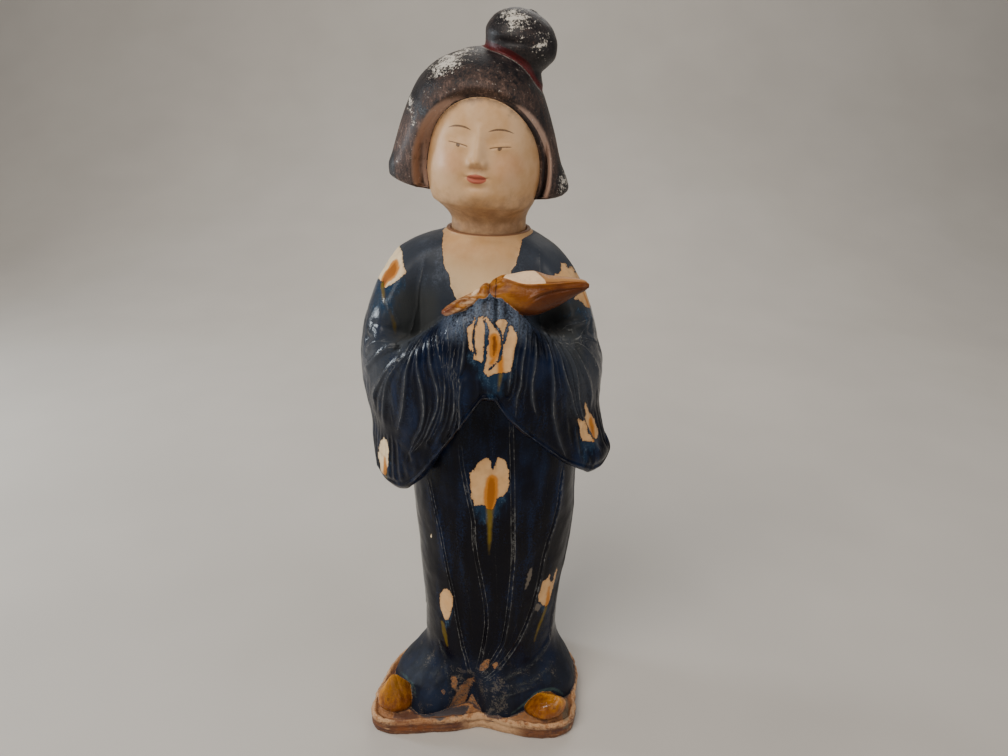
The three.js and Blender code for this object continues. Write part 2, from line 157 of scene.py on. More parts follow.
SLEEVE_RIGHT = ((198, 77), (209, 80), (219, 76), (232, 73), (244, 71), (266, 70.5), (282, 67.5),
                *RIGHT_SHOULDER)
SLEEVE_BACK = ((187, 62), (264, 66), (300, 58), (325, 40), (345, 26))
SLEEVE_MIDDLE = ((187, -21), (230, -20), (280, -17), (320, -10), (345, 0))
SLEEVE_POINT = 1.15
SLEEVES = Outline(SLEEVE_LEFT, SLEEVE_RIGHT, ((187, 36), (214, 43), (264, 55), (300, 62), (326, 64)),
                  SLEEVE_BACK, SLEEVE_MIDDLE, SLEEVE_POINT)
UPPER_ARMS = Outline(SLEEVE_LEFT, SLEEVE_RIGHT, ((286, 60), (300, 55), (318, 44), (334, 33), (345, 26)),
                     SLEEVE_BACK, SLEEVE_MIDDLE, SLEEVE_POINT)

# By angle round the figure, 0 in front: the sleeves' lower edge and the forearms' top as heights, the angle
# that the gathered sleeves are drawn to, and how far the hem spreads over the feet.
hanging_edge = curve((-180, 236), (-135, 229), (-98, 198), (-82, 187), (-70, 184.5), (-58, 184.5), (-48, 187),
                     (-40, 192.5), (-35, 199), (-27, 213), (-20, 226), (-13, 239), (-5, 256), (-1, 263.5),
                     (4, 263), (8, 255), (13, 247), (23, 233.5), (33, 221), (38, 214.5), (44, 208.5),
                     (52, 203), (60, 199.5), (70, 199), (78, 200.5), (95, 214), (135, 236), (180, 236))
forearm_top = curve((-180, 297), (-90, 295), (-60, 290), (-47, 290), (-36, 296), (-22, 308), (-12, 318),
                    (-5, 323), (3, 325), (11, 322), (19, 314), (30, 303), (42, 296), (56, 294), (90, 295),
                    (180, 297))
pinched = curve((-180, -180), (-138, -132), (-105, -92), (-76, -60), (-56, -49), (-44, -45), (-22, -27),
                (0, 0), (20, 22), (36, 37), (46, 42), (64, 48), (100, 84), (138, 132), (180, 180))
hem_spread = curve((-180, 3), (-140, 3), (-110, 6), (-84, 13), (-60, 15), (-38, 18), (-30, 10), (-22, -3),
                   (-12, -8), (-4, -4), (5, 5), (13, 6), (26, 3), (46, 7), (64, 9), (86, 6), (120, 4),
                   (180, 3))
CROOK_LEFT, CROOK_RIGHT = -47, 42
HEM_HEIGHT, NECK_BASE = -5, 345
COLLAR_MIDDLE = -1.5
TRUNK_LIFT = 9  # how much higher the skirt ends inside the sleeves than their lower edge


def sleeve_share(angle):
    return step(145, 100, np.abs(angle))


def arm_share(angle):
    return step(CROOK_LEFT + 13, CROOK_LEFT - 13, angle) + step(CROOK_RIGHT - 13, CROOK_RIGHT + 13, angle)


def skirt(angle, t):
    z = mix(HEM_HEIGHT, hanging_edge(angle) + TRUNK_LIFT * sleeve_share(angle), t**1.3)
    drawn = angle - 40 * step(185, 20, z) * sind(angle) * (0.5 + 0.5 * cosd(angle))
    return raised(push(TRUNK.at(drawn, z), hem_spread(drawn) * step(38, 8, z)), z)


def sleeve_underside(angle, t):
    share = sleeve_share(angle)
    z = hanging_edge(angle) + TRUNK_LIFT * share * (1 - t) ** 2 + 1.5 * t * (1 - share)
    return raised(mix(TRUNK.at(angle, z), SLEEVES.at(angle, z), (0.95 * t * share)[..., None]), z)


def sleeve_face(angle, t):
    drawn = mix(angle, pinched(angle), step(0, 1, t))
    z = mix(hanging_edge(angle) + 2, forearm_top(drawn), t)
    over = np.clip((t - 0.7) / 0.3, 0, 1)
    rounding = 13 * (1 - np.sqrt(1 - 0.9 * over * over)) * (1 - arm_share(drawn))
    face = push(SLEEVES.at(drawn, z), -rounding)
    return raised(mix(TRUNK.at(drawn, z), face, sleeve_share(drawn)[..., None]), z)


def chest(angle, t):
    drawn = mix(pinched(angle), angle, step(0.1, 1, t))
    arm = arm_share(drawn)
    z = mix(forearm_top(drawn) + mix(-8, 4, arm), NECK_BASE, t)
    xy = mix(TRUNK.at(drawn, z), UPPER_ARMS.at(drawn, z), (arm * sleeve_share(drawn))[..., None])
    crooks = bell(drawn, CROOK_LEFT + 2, 10) + bell(drawn, CROOK_RIGHT - 2, 10)
    return raised(push(xy, -9 * crooks * step(330, 296, z)), z)


def ring(angle, radius, z):
    """A level circle round the middle of the collar."""
    return raised(np.stack([COLLAR_MIDDLE + radius * sind(angle), -radius * cosd(angle)], -1), z)


def signed(angle, most=180):
    """Angles of a full turn, with those past the most counted back from 0."""
    return np.where(angle > most, angle - 360, angle)


def spaced(columns, crowding):
    """The columns' angles, closer together at the front, where the carving is."""
    turn = np.arange(columns) / columns
    return signed(360 * turn - np.degrees(crowding) * np.sin(2 * np.pi * turn))


def whole_turn(count):
    return np.linspace(0, 360, count, endpoint=False)


def rotation(degrees, axis):
    return Matrix.Rotation(math.radians(degrees), 3, axis)


def select_only(piece):
    bpy.ops.object.select_all(action="DESELECT")
    piece.select_set(True)
    bpy.context.view_layer.objects.active = piece


def mode(name):
    bpy.ops.object.mode_set(mode=name)


def closed_skin(name, rings, marks):
    """Wraps a fine grid into a closed body. rings holds rows of points, in mm, and each mark a number
    for every point, kept as an attribute for the materials."""
    rows, columns = rings.shape[:2]
    bpy.ops.object.select_all(action="DESELECT")
    bpy.ops.mesh.primitive_grid_add(x_subdivisions=columns, y_subdivisions=rows - 1, size=2.0)
    piece = bpy.context.object
    piece.name = piece.data.name = name
    piece.data.vertices.foreach_set("co", (np.concatenate([rings, rings[:, :1]], 1) * MM).ravel())
    piece.data.update()
    for mark, values in marks.items():
        values = np.asarray(values, float).reshape(rows, columns)
        layer = piece.data.attributes.new(mark, "FLOAT", "POINT")
        layer.data.foreach_set("value", np.concatenate([values, values[:, :1]], 1).ravel())
    mode("EDIT")
    bpy.ops.mesh.select_all(action="SELECT")
    bpy.ops.mesh.remove_doubles(threshold=1e-7)
    bpy.ops.mesh.fill_holes(sides=0)
    bpy.ops.mesh.select_all(action="SELECT")
    bpy.ops.mesh.normals_make_consistent(inside=False)
    mode("OBJECT")
    bpy.ops.object.shade_smooth()
    return piece


FAR_OFF = 1e9
LINE_REACH = 12.0  # mm; no drawn line is felt further away
LINE_TAPER = 0.18  # the share of a line's length over which each end fades
LINE_POINTS = 14


def outward(rings):
    """The outward direction at every point of a wrapped grid."""
    along = np.roll(rings, -1, 1) - np.roll(rings, 1, 1)
    up = np.gradient(rings, axis=0)
    normal = np.cross(along, up)
    normal /= np.maximum(np.linalg.norm(normal, axis=-1, keepdims=True), 1e-9)
    centre = rings.reshape(-1, 3).mean(0)
    facing = np.einsum("...k,...k->...", normal, rings - centre).sum()
    return normal * np.sign(facing)


def milestones(line):
    """How far along a drawn line each of its points lies."""
    return np.concatenate([[0], np.cumsum(np.linalg.norm(np.diff(line, axis=0), axis=1))])


def line_gap(points, line, taper=LINE_TAPER):
    """Each point's distance to a drawn line, the line's strength there, and the side seen from the front."""
    spans = np.linalg.norm(np.diff(line, axis=0), axis=1)
    starts = milestones(line)
    gap = np.full(len(points), FAR_OFF)
    share, side = np.zeros(len(points)), np.ones(len(points))
    for begin, end, span, start in zip(line[:-1], line[1:], spans, starts):
        t = np.clip(((points - begin) @ (end - begin)) / span**2, 0, 1)
        away = points - (begin + t[:, None] * (end - begin))
        distance = np.linalg.norm(away, axis=1)
        nearer = distance < gap
        gap[nearer] = distance[nearer]
        share[nearer] = (start + t[nearer] * span) / starts[-1]
        across = (end[0] - begin[0]) * away[:, 2] - (end[2] - begin[2]) * away[:, 0]
        side[nearer] = np.where(across[nearer] < 0, -1.0, 1.0)
    return gap, np.clip(np.minimum(share, 1 - share) / taper, 0, 1), side


def rounded_line(line):
    """The drawn line as a smooth run of points."""
    line = np.asarray(line, float)
    starts = milestones(line)
    at = np.linspace(0, starts[-1], LINE_POINTS)
    return np.stack([curve(*zip(starts, line[:, axis]))(at) for axis in range(3)], 1)


def near(points, line):
    """The points inside the line's box, widened by its reach."""
    return np.all((points > line.min(0) - LINE_REACH) & (points < line.max(0) + LINE_REACH), axis=1)


def draw_lines(points, lines, taper=LINE_TAPER):
    """The signed distance to the nearest of several lines, its strength, and the next line's distance."""
    gap, beyond = np.full((2, len(points)), LINE_REACH)
    strength, side = np.zeros(len(points)), np.ones(len(points))
    for line in lines:
        line = rounded_line(line)
        inside = np.nonzero(near(points, line))[0]
        distance, weight, hand = line_gap(points[inside], line, taper)
        beyond[inside] = np.minimum(beyond[inside], np.maximum(gap[inside], distance))
        nearer = distance < gap[inside]
        chosen = inside[nearer]
        gap[chosen], strength[chosen], side[chosen] = distance[nearer], weight[nearer], hand[nearer]
    return gap * side, strength, beyond


def patch(points, corners, behind=0.0):
    """Signed distance to a patch seen from the front, in mm: above 0 inside it."""
    corners = np.asarray(corners, float)
    spot = points[:, [0, 2]]
    gap = np.full(len(spot), FAR_OFF)
    inside = np.zeros(len(spot), bool)
    for a, b in zip(corners, np.roll(corners, -1, 0)):
        edge = b - a
        t = np.clip(((spot - a) @ edge) / (edge @ edge), 0, 1)
        gap = np.minimum(gap, np.linalg.norm(spot - (a + t[:, None] * edge), axis=1))
        crossed = (a[1] > spot[:, 1]) != (b[1] > spot[:, 1])
        rise = np.where(b[1] == a[1], 1e-9, b[1] - a[1])
        inside ^= crossed & (spot[:, 0] < (b[0] - a[0]) * (spot[:, 1] - a[1]) / rise + a[0])
    ragged = 5 * sind(31 * points[:, 2]) + 3 * sind(67 * points[:, 2] + 40)
    return np.minimum(np.where(inside, gap, -gap), behind + ragged - points[:, 1])


def run(points, line, widths):
    """Signed distance to a run of glaze along a line whose half width changes."""
    line = rounded_line(line)
    starts = milestones(line)
    share, nearest = np.zeros(len(points)), np.full(len(points), FAR_OFF)
    for place, station in zip(starts / starts[-1], line):
        distance = np.linalg.norm(points - station, axis=1)
        share = np.where(distance < nearest, place, share)
        nearest = np.minimum(nearest, distance)
    return np.interp(share, np.linspace(0, 1, len(widths)), widths) - line_gap(points, line)[0]


def runs(points, lines):
    """The signed distance to the nearest of several runs."""
    return np.max([run(points, line, widths) for line, widths in lines], axis=0)


def splashes(points, drop=0.0):
    """The signed distance to the nearest cream splash, drawn lower by some millimetres."""
    above = points + (0, 0, drop)
    return np.max([patch(above, corners, behind) for corners, behind in CREAM_SPLASHES], axis=0)


def uneven(points, size, height, seed=0.0):
    """The hand-made unevenness of a surface, in mm."""
    shift = Vector((seed, 2.3 * seed, 5.1 * seed))
    return np.array([noise.noise(Vector(p) / size + shift) for p in points]) * height


def give_material(piece, material):
    piece.data.materials.clear()
    piece.data.materials.append(material)


def joined(main, *others):
    """One clay body from several: each is joined to the main one and then removed."""
    for other in others:
        select_only(main)
        bpy.ops.object.modifier_add(type="BOOLEAN")
        union = main.modifiers[-1]
        union.operation, union.solver, union.object = "UNION", "MANIFOLD", other
        union.material_mode = "TRANSFER"
        bpy.ops.object.modifier_apply(modifier=union.name)
        select_only(other)
        bpy.ops.object.delete()
    return main


# Lines pressed or raised in the clay, as points in millimetres.
SLEEVE_FOLDS = (
    ((-53, -52, 303), (-62, -48, 302), (-68.5, -42, 297.5), (-73, -36.5, 290.5)),
    ((-51.5, -54, 301), (-56.5, -52, 299.5), (-63, -48.5, 294), (-69.5, -41.5, 285.5), (-74.5, -33.5, 277.5)),
    ((-46, -60, 299.5), (-51, -57.5, 294), (-57.5, -53.5, 286), (-63, -49, 276.5), (-67.5, -43, 267),
     (-69, -40.5, 257)),
    ((-43, -58, 305), (-47, -60, 297), (-52.5, -57.5, 289), (-57.5, -54, 279.5), (-59.5, -51.5, 271),
     (-62, -48, 257.5), (-64, -44, 243)),
    ((-36.5, -60.5, 310), (-40.5, -63.5, 302), (-44.5, -63, 290.5), (-46.5, -61.5, 279), (-47.5, -60, 272.5),
     (-49.5, -57.5, 260), (-54.5, -51.5, 242.5)),
    ((-33, -59, 313.5), (-36.5, -64.5, 306.5), (-38.5, -66, 300), (-37, -67, 287), (-35.5, -66.5, 275.5),
     (-35.5, -65, 265), (-37.5, -62.5, 254), (-42.5, -58, 242.5), (-49, -52, 226.5)),
    ((-29, -61, 316), (-31.5, -66, 310), (-31, -70, 303.5), (-28.5, -70.5, 288.5), (-26.5, -70, 279.5),
     (-27, -68.5, 271.5), (-31.5, -65, 258), (-37.5, -60.5, 243), (-45.5, -55, 231.5)),
    ((-25.5, -63.5, 318.5), (-27, -67, 314.5), (-25.5, -72, 304.5), (-22.5, -71.5, 287), (-23, -70.5, 277.5),
     (-24.5, -68.5, 266), (-28, -67, 255), (-33.5, -62.5, 243.5)),
    ((-22, -64.5, 321.5), (-20.5, -72, 314.5), (-21.5, -73, 297), (-18, -73.5, 289.5), (-17.5, -71, 273),
     (-20, -69, 259), (-25.5, -66, 246)),
    ((-17.5, -66, 325), (-16, -73.5, 315), (-18.5, -74, 297), (-14, -74, 289), (-15, -72, 276.5),
     (-14.5, -70, 264), (-16.5, -68.5, 252)),
    ((-14.5, -67, 327.5), (-11.5, -74, 319.5), (-12.5, -75.5, 306), (-14.5, -74, 292)),
    ((15.5, -62.5, 328), (17, -71, 321), (14, -75, 306.5), (13, -74, 291.5), (12.5, -73, 282.5)),
    ((21, -66, 319), (21, -70.5, 315), (19.5, -73.5, 301), (19, -72, 288), (17, -72, 277),
     (17, -70, 265)),
    ((26.5, -65, 314), (26.5, -68.5, 310.5), (26.5, -70.5, 297.5), (25.5, -70.5, 289.5), (26, -69, 278.5),
     (29, -66, 265.5)),
    ((32, -60, 311), (34, -62.5, 307.5), (37, -65, 293), (38, -64, 285), (38, -63, 270.5), (40.5, -59.5, 256),
     (46.5, -54.5, 236.5), (50.5, -50.5, 228.5)),
    ((37, -57, 308.5), (40, -60, 302.5), (44, -60, 288), (47.5, -57, 278), (52.5, -52, 262.5),
     (57.5, -47, 252)),
    ((36.5, -56, 310.5), (45, -56, 302.5), (50.5, -54, 289), (54, -51, 270), (57, -47.5, 258),
     (62.5, -42.5, 244.5), (68, -38, 232.5), (76, -30.5, 219)),
    ((39, -55.5, 309.5), (49, -53, 302), (56, -48.5, 289), (61.5, -42.5, 273.5), (64, -39, 258.5)),
    ((40.5, -55, 309), (53, -48.5, 303.5), (61.5, -39, 292), (68.5, -29.5, 273.5)),
    ((41, -55, 309), (52.5, -48.5, 307), (61.5, -35.5, 301), (67, -24, 292.5)),
    ((42, -41, 309), (50, -43, 314), (58, -33.5, 313), (64, -21, 308)),
)
ELBOW_CREASES = (
    ((-48.5, -35.5, 301), (-56, -40, 306), (-63.5, -41, 308.5), (-70.5, -33, 308)),
    ((-51.5, -52.5, 303), (-60.5, -48.5, 303), (-69, -40, 301.5), (-75, -30, 296.5)),
    ((36, -34.5, 306.5), (40.5, -38.5, 313), (48, -41.5, 317.5), (54.5, -36, 317)),
    ((39, -37.5, 307.5), (46.5, -43.5, 310.5), (53.5, -41.5, 311), (62.5, -30.5, 304)),
)
ARM_LINES = (
    ((-65.5, -19.5, 329.5), (-62.5, -29, 326.5), (-60, -34.5, 323), (-57.5, -38.5, 315), (-54, -38.5, 307)),
    ((-57.5, -36, 321.5), (-54.5, -37.5, 314.5), (-51.5, -36.5, 307)),
    ((-43, -28, 317), (-44.5, -30, 309.5), (-47, -34, 300.5)),
)
LAPEL_LINES = (
    ((-38, -17, 350), (-39, -25, 341), (-42, -27, 326), (-42.5, -28, 317), (-44, -30.5, 309)),
    ((28, -15, 353), (28.5, -20.5, 350.5), (29, -25, 346), (29.5, -27, 341), (30, -29, 334)),
)
PLEATS = (
    ((-37.5, -29.5, 200.5), (-35, -31, 187), (-31, -32.5, 169), (-28, -33, 148.5), (-25.5, -33, 133.5),
     (-22, -33.5, 111.5), (-19, -34, 91.5), (-16.5, -34, 76), (-14, -35.5, 63), (-11.4, -36.7, 52.7),
     (-9.4, -36.1, 42.4)),
    ((-16.5, -41.5, 232), (-15.5, -41, 220), (-10.5, -41.5, 193.5), (-7.5, -41, 172.5), (-7, -40, 156.5),
     (-4.5, -39.5, 141), (-2, -38.5, 125.5), (1, -37.5, 105), (2, -37, 91), (1, -37, 76.5),
     (-0.5, -37.2, 66), (-1.4, -37.7, 59.9), (-2.9, -37.7, 51.7), (-4.4, -37.5, 44.7)),
    ((15, -41, 250), (16, -41.5, 228.5), (17, -41.5, 211.5), (17.5, -40.5, 193.5), (18, -39.5, 173.5),
     (19, -39, 158), (19, -38, 144), (19, -37, 129), (17.5, -36, 112), (17, -35.5, 97), (15.5, -35.5, 83),
     (13.5, -36, 70), (9.5, -37, 62), (7.3, -37.5, 57), (2, -38.1, 48.5), (-3.2, -37.8, 43.2)),
    ((50, -23, 208), (49.5, -24, 201.5), (48.5, -25.5, 185), (46, -27, 166), (41.5, -29.5, 148),
     (39, -29.5, 127.5), (36, -29.5, 108.5), (31.5, -30.5, 88), (26.5, -32.5, 74.5), (21, -34.5, 63),
     (14.5, -36.5, 53.5), (11.1, -37.3, 48), (5.5, -39.4, 42.4), (-0.2, -39.6, 37.9)),
)
HEM_FOLDS = (
    ((51, -12, 60.5), (44, -23, 51.5), (34.5, -31, 45.5), (23.5, -36.5, 42), (12, -41, 39.5), (1.5, -41, 36)),
    ((54.5, -18.5, 41.5), (46.5, -28.5, 38), (35, -35, 34.5), (21.5, -40.5, 33.5), (8.5, -44, 32.5)),
    ((44, -33, 32.5), (31, -38, 29.5), (19, -43.5, 29), (6.5, -46, 26)),
    ((-32.5, -24.5, 63), (-29.5, -28.5, 53.5), (-28, -33.5, 45.5), (-25, -37, 37), (-22.5, -37, 28.5)),
    ((-42, -28, 40), (-35.5, -36.5, 37.5), (-29.5, -40, 28.5), (-25, -39, 20.5)),
    ((-56, -29.5, 26), (-50, -38, 23.5), (-42, -43, 20), (-33.5, -42.5, 17)),
    ((-40.5, -15.5, 53.5), (-39, -24, 46.5), (-35, -32.5, 42), (-31, -37.5, 36)),
)

# Splashes and runs of glaze, as seen from the front: (x, z) corners, or points with half widths.
CREAM_SPLASHES = (
    (((-62, 349), (-52, 346), (-50, 340), (-49, 338), (-50, 336), (-53, 334), (-55, 332), (-59, 330),
      (-61, 328), (-62.5, 330), (-65, 330), (-76, 327), (-76, 332), (-72, 342)), 4),
    (((42, 343), (45, 342), (46, 340), (49, 339), (51, 336), (57, 335), (60, 333), (46, 332), (38, 333),
      (38, 339), (41, 339), (42, 341)), 0),
    (((49, 326), (54, 327), (68, 326), (69, 314), (60, 317), (57, 320), (53, 324)), 0),
    (((-10, 321), (-8, 322), (-7, 324), (-6, 326), (-2, 327), (2, 326), (5, 324), (6, 325.5), (10, 325),
      (11, 323), (14, 321), (16, 317), (15.5, 312), (14.5, 305), (13.5, 297), (9, 295), (5, 294.5), (1, 293),
      (-1, 295), (-1, 298), (-3, 301), (-4, 302), (-6.5, 303), (-6.5, 307), (-9, 308), (-10, 312)), 0),
    (((-7.5, 214), (-6.5, 217.5), (-3, 222), (0, 224), (2.5, 223.5), (3, 220.5), (2.5, 217.5), (4.5, 215),
      (6, 217.5), (6.5, 223), (7.5, 224), (12, 222.5), (13, 219), (14.5, 214), (15, 206.5), (14.5, 200.5),
      (12, 196.5), (9.5, 195.5), (7.5, 194.5), (6, 189), (5, 184.5), (0.5, 186.5), (0, 189.5), (-7, 188.5),
      (-9, 195), (-9.5, 204), (-10.5, 213)), 0),
    (((-64, 236), (-61.5, 231.5), (-61, 226.5), (-62, 216.5), (-63, 211.5), (-65, 203), (-69, 205.5),
      (-69.5, 216.5), (-67.5, 227)), 0),
    (((60, 264.5), (62.5, 256.5), (67, 248), (70, 240), (69, 236), (66, 235.5), (59, 239), (57, 246),
      (55.5, 255.5), (58, 253), (60.5, 254.5), (59, 261.5)), 0),
    (((-29, 111), (-26.5, 113), (-24.5, 112.5), (-22.5, 108), (-22, 101.5), (-23, 94), (-25.5, 86),
      (-27.5, 84), (-29, 86), (-30.5, 91), (-32, 98), (-31.5, 105.5)), 0),
    (((45.5, 122.5), (46, 114), (48.5, 111), (50.5, 125.5), (51, 120), (49.5, 108), (48, 101), (47, 95.5),
      (44.5, 91.5), (42.5, 94), (37.5, 102), (38.5, 109.5), (40.5, 118), (43.5, 118)), 0),
)
CHEST_OPENING = ((-27, 362), (-28, 356), (-28, 351), (-27, 343), (-25.5, 340), (-23.5, 337), (-22.5, 332),
                 (-21, 327), (-19, 324), (-16, 318), (8, 318), (11, 334), (12, 338), (13, 341), (15, 343.5),
                 (16.5, 349), (18, 354), (19.5, 359), (20, 362))
AMBER_RUNS = (
    (((-58, -20, 341), (-58, -24, 337), (-60, -23, 333), (-63, -27, 328)), (3.5, 6.0, 5.0, 1.8)),
    (((4.2, -76, 315.5), (4.4, -76, 311), (4.2, -76, 306)), (2.2, 2.3, 2.0)),
    (((8, -76, 304), (8, -75, 294), (7, -74, 284)), (1.0, 1.1, 0.5)),
    (((3, -76, 301), (6.5, -76, 308), (8.5, -76, 314)), (0.7, 0.9, 0.4)),
    (((4, -43, 208), (3.5, -42.5, 197), (3, -42, 186.5), (3, -41.5, 173), (3, -41, 162), (3, -41, 148)),
     (3.2, 4.2, 2.6, 1.8, 1.2, 0.4)),
    (((-65.5, -38.5, 219), (-65.5, -37, 209), (-65.5, -31.5, 200)), (1.2, 2.4, 1.2)),
    (((64, -39.5, 250.5), (65.5, -39, 244), (66, -38.5, 237)), (1.2, 2.2, 1.2)),
    (((46.5, -22.5, 109), (46, -22, 96.5), (43.5, -23, 87), (39.5, -25.5, 75), (37, -27, 64)),
     (1.0, 2.0, 1.8, 1.5, 0.6)),
    (((57, -20, 326), (59, -21, 320), (60, -23, 312)), (1.0, 1.6, 0.6)),
)
BLUE_LINES = (
    (((-5, -73, 327), (-7, -76, 316), (-6, -76, 306)), (0.7, 0.7, 0.9)),
    (((-2, -74, 328), (0, -76, 320), (0, -76, 309), (-2, -76, 296)), (0.9, 1.1, 1.0, 0.9)),
    (((0, -74, 328), (5, -75, 322), (8, -75, 316), (8.5, -76, 310)), (0.7, 0.9, 0.9, 0.9)),
    (((12.5, -72, 326), (10, -75, 316), (9, -76, 311), (7, -76, 303), (2, -76, 297)),
     (0.9, 1.0, 1.2, 0.9, 0.5)),
    (((58, -46.5, 261), (62, -43, 246), (70.5, -35.5, 231)), (0.7, 0.9, 0.8)),
)
HEM_EDGES = (
    (((21.8, -46.3, 14.5), (29.3, -41.6, 17.5), (36.3, -38.4, 22.1), (40.9, -36.2, 24.7), (46.8, -33.9, 25.6),
      (54.2, -31.1, 23), (60, -28.7, 15.6)), (0.5, 0.9, 1.1, 1.1, 1.1, 0.9, 0.4)),
    (((-63.5, -15.4, 21.2), (-56.5, -26.6, 25.5), (-50.6, -35.6, 26.1), (-48.2, -42.3, 22.3)),
     (0.4, 0.8, 0.8, 0.3)),
)
OLIVE_RUNS = (
    (((-30, -27.5, 80), (-28, -28.5, 70.5), (-26, -30, 62)), (1.5, 2.0, 0.8)),
    (((13, -74, 310), (10, -75.5, 303), (8, -75, 296)), (0.8, 1.2, 0.6)),
    (((-63, -28, 328), (-60, -34.5, 321), (-55, -38.5, 309), (-51, -41, 299)), (1.4, 1.2, 0.9, 0.4)),
)
BARE_PATCHES = (
    ((-2.5, 50.5), (0.5, 56.5), (6, 57), (3.5, 49), (-2.5, 44.5)),
    ((6, 52), (9.5, 55), (12, 52), (8, 47)),
    ((-31.5, 34.5), (-27, 29), (-27, 24.5), (-30.5, 29.5)),
    ((-23.5, 40.5), (-18.5, 36.5), (-18.5, 24), (-22.5, 29.5)),
    ((-11, 6), (-11, 13), (-8.5, 20), (-5, 17), (-1, 13), (0.5, 6)),
)
SPECKLED_HEM = ((-30, 8), (-27, 14), (-24, 17), (-21, 24), (-17, 30), (-12, 35), (-6, 40), (-5, 34), (-8, 26),
                (-10, 18), (-12, 12), (-12, 6))
WHITE_CHIP = ((-38.2, 155), (-36.6, 155.6), (-36.2, 152), (-37.2, 150.5))
SCRAPE = (((32.5, -33, 133), (31, -33, 125.5), (28.5, -33.5, 115.5)), (1.2, 2.0, 0.8))
GREY_CHIP = ((36.5, 101), (41.5, 95), (38.5, 90.5), (35.5, 94))

# The head's forms, in mm from the middle of the face.
FACE_SIDE = ((-44, 20), (-36, 26.5), (-26, 31), (-13, 33), (0, 32), (14, 29.5), (28, 24), (38, 14))
FACE = Outline(
    left=FACE_SIDE,
    right=FACE_SIDE,
    front=((-44, 13), (-36, 23), (-29, 30), (-20, 33.5), (-10, 35), (2, 35), (16, 33.5), (28, 29), (38, 20)),
    back=((-44, 18), (-24, 28), (0, 32), (20, 30), (38, 18)),
    point=0.9,
)
HAIR = Outline(
    left=((-27, 34), (-26, 44), (-24, 52), (-21, 56.5), (-16, 57), (-9, 55), (11, 49.5), (31, 41.5),
          (42, 31.5), (48, 20), (51, 11), (52, 4)),
    right=((-27, 32), (-26, 40), (-24, 46), (-20, 49), (-15, 47.5), (-6, 43), (10, 37.5), (26, 31), (34, 27),
           (46, 18), (50, 11), (52, 4)),
    front=((-28, 25), (0, 34), (22, 37), (31, 37), (40, 31), (47, 20), (50, 11), (52, 4)),
    back=((-28, 28), (-26, 33), (-22, 37), (-8, 43), (10, 44), (28, 39), (42, 26), (48, 15), (50, 9),
          (52, 4)),
    middle=((0, 2), (1, 2)),
)
OPENING_WIDTH, OPENING_HEIGHT, OPENING_MIDDLE = 36.5, 42.5, -14.0
HEAD_MIDDLE = (-3.0, -8.0, 395.0 + PLATE_TOP)
HEAD_TURN, HEAD_TILT, TOPKNOT_TILT = -6.0, 3.5, 19.0
TOPKNOT_FOOT = (8.5, 2.0, 38.0)
TOPKNOT_TOP = 34.8
topknot_reach = curve((-6, 22), (2, 20.5), (6, 18), (8.5, 16.8), (12, 18.3), (18, 20.5), (24, 19), (30, 14),
                      (33, 8.5), (34.6, 3))
nose_height = curve((-9.5, 0), (-7.5, 3.2), (-5, 5.4), (0, 4.0), (6, 1.9), (11, 0.8), (15, 0))


def face_relief(x, z):
    """A calm, regular face in relief, in mm: sockets, lids, nose, closed lips, chin and cheeks."""
    side = np.abs(x)
    nose = nose_height(z) * bell(x, 0, 3.6 - 0.11 * z)
    wings = 1.5 * bell(side, 3.9, 1.5) * bell(z, -6.6, 2.1) - 0.8 * bell(side, 2.0, 0.9) * bell(z, -8.9, 0.8)
    sockets = -1.5 * bell(side, 10.5, 6.5) * bell(z, 5.5, 4.2)
    lids = 1.25 * bell(side, 11.5, 4.6) * bell(z, 2.6, 2.5)
    slit = -0.45 * bell(z, eye_line(side), 0.45) * step(5.6, 7.2, side) * step(17.4, 15.6, side)
    fold = -0.3 * bell(z, eye_line(side) + 2.3, 0.5) * step(6.5, 8.5, side) * step(17.0, 14.5, side)
    lips = 1.25 * bell(x, 0, 4.6) * bell(z, -12.9, 1.15) + 1.45 * bell(x, 0, 4.0) * bell(z, -16.0, 1.35)
    parting = -0.8 * bell(z, lip_line(side), 0.42) * step(7.0, 5.2, side)
    corners = -0.45 * bell(side, 6.8, 1.4) * bell(z, -14.2, 1.5)
    furrow = -0.35 * bell(x, 0, 1.1) * bell(z, -10.6, 1.4) - 0.6 * bell(x, 0, 4.5) * bell(z, -19.4, 1.3)
    chin = 1.9 * bell(x, 0, 7.5) * bell(z, -24, 4)
    cheeks = 1.7 * bell(side, 16, 8) * bell(z, -9, 9)
    return nose + wings + sockets + lids + slit + fold + lips + parting + corners + furrow + chin + cheeks


def eye_line(side):
    """The height of the gap between the lids, by distance from the middle of the face."""
    return 1.9 + 0.13 * (side - 6) - 0.012 * (side - 11) ** 2


def lip_line(side):
    return -14.5 + 0.02 * side**2


def settled(points):
    """Points of the upright head, turned and tilted into place, in mm."""
    return points @ np.array(rotation(HEAD_TILT, "Y") @ rotation(HEAD_TURN, "Z")).T + HEAD_MIDDLE


def opening_share(x, z):
    """How far a point of the upright head is from the middle of the hair's opening: 1 on its rim."""
    return np.hypot(x / OPENING_WIDTH, (z - OPENING_MIDDLE) / OPENING_HEIGHT)


COLUMNS, SKIRT_ROWS, SLEEVE_ROWS, CHEST_ROWS = 352, 88, 66, 32
ROBE_CROWDING = 0.4
BORDER_REACH = 30  # mm up the sleeves, past which their border isn't felt
SHED_DROP, TRAIL_DROP, TRAIL_LOSS = 7, 19, 4  # mm that pale blue runs down below the cream splashes

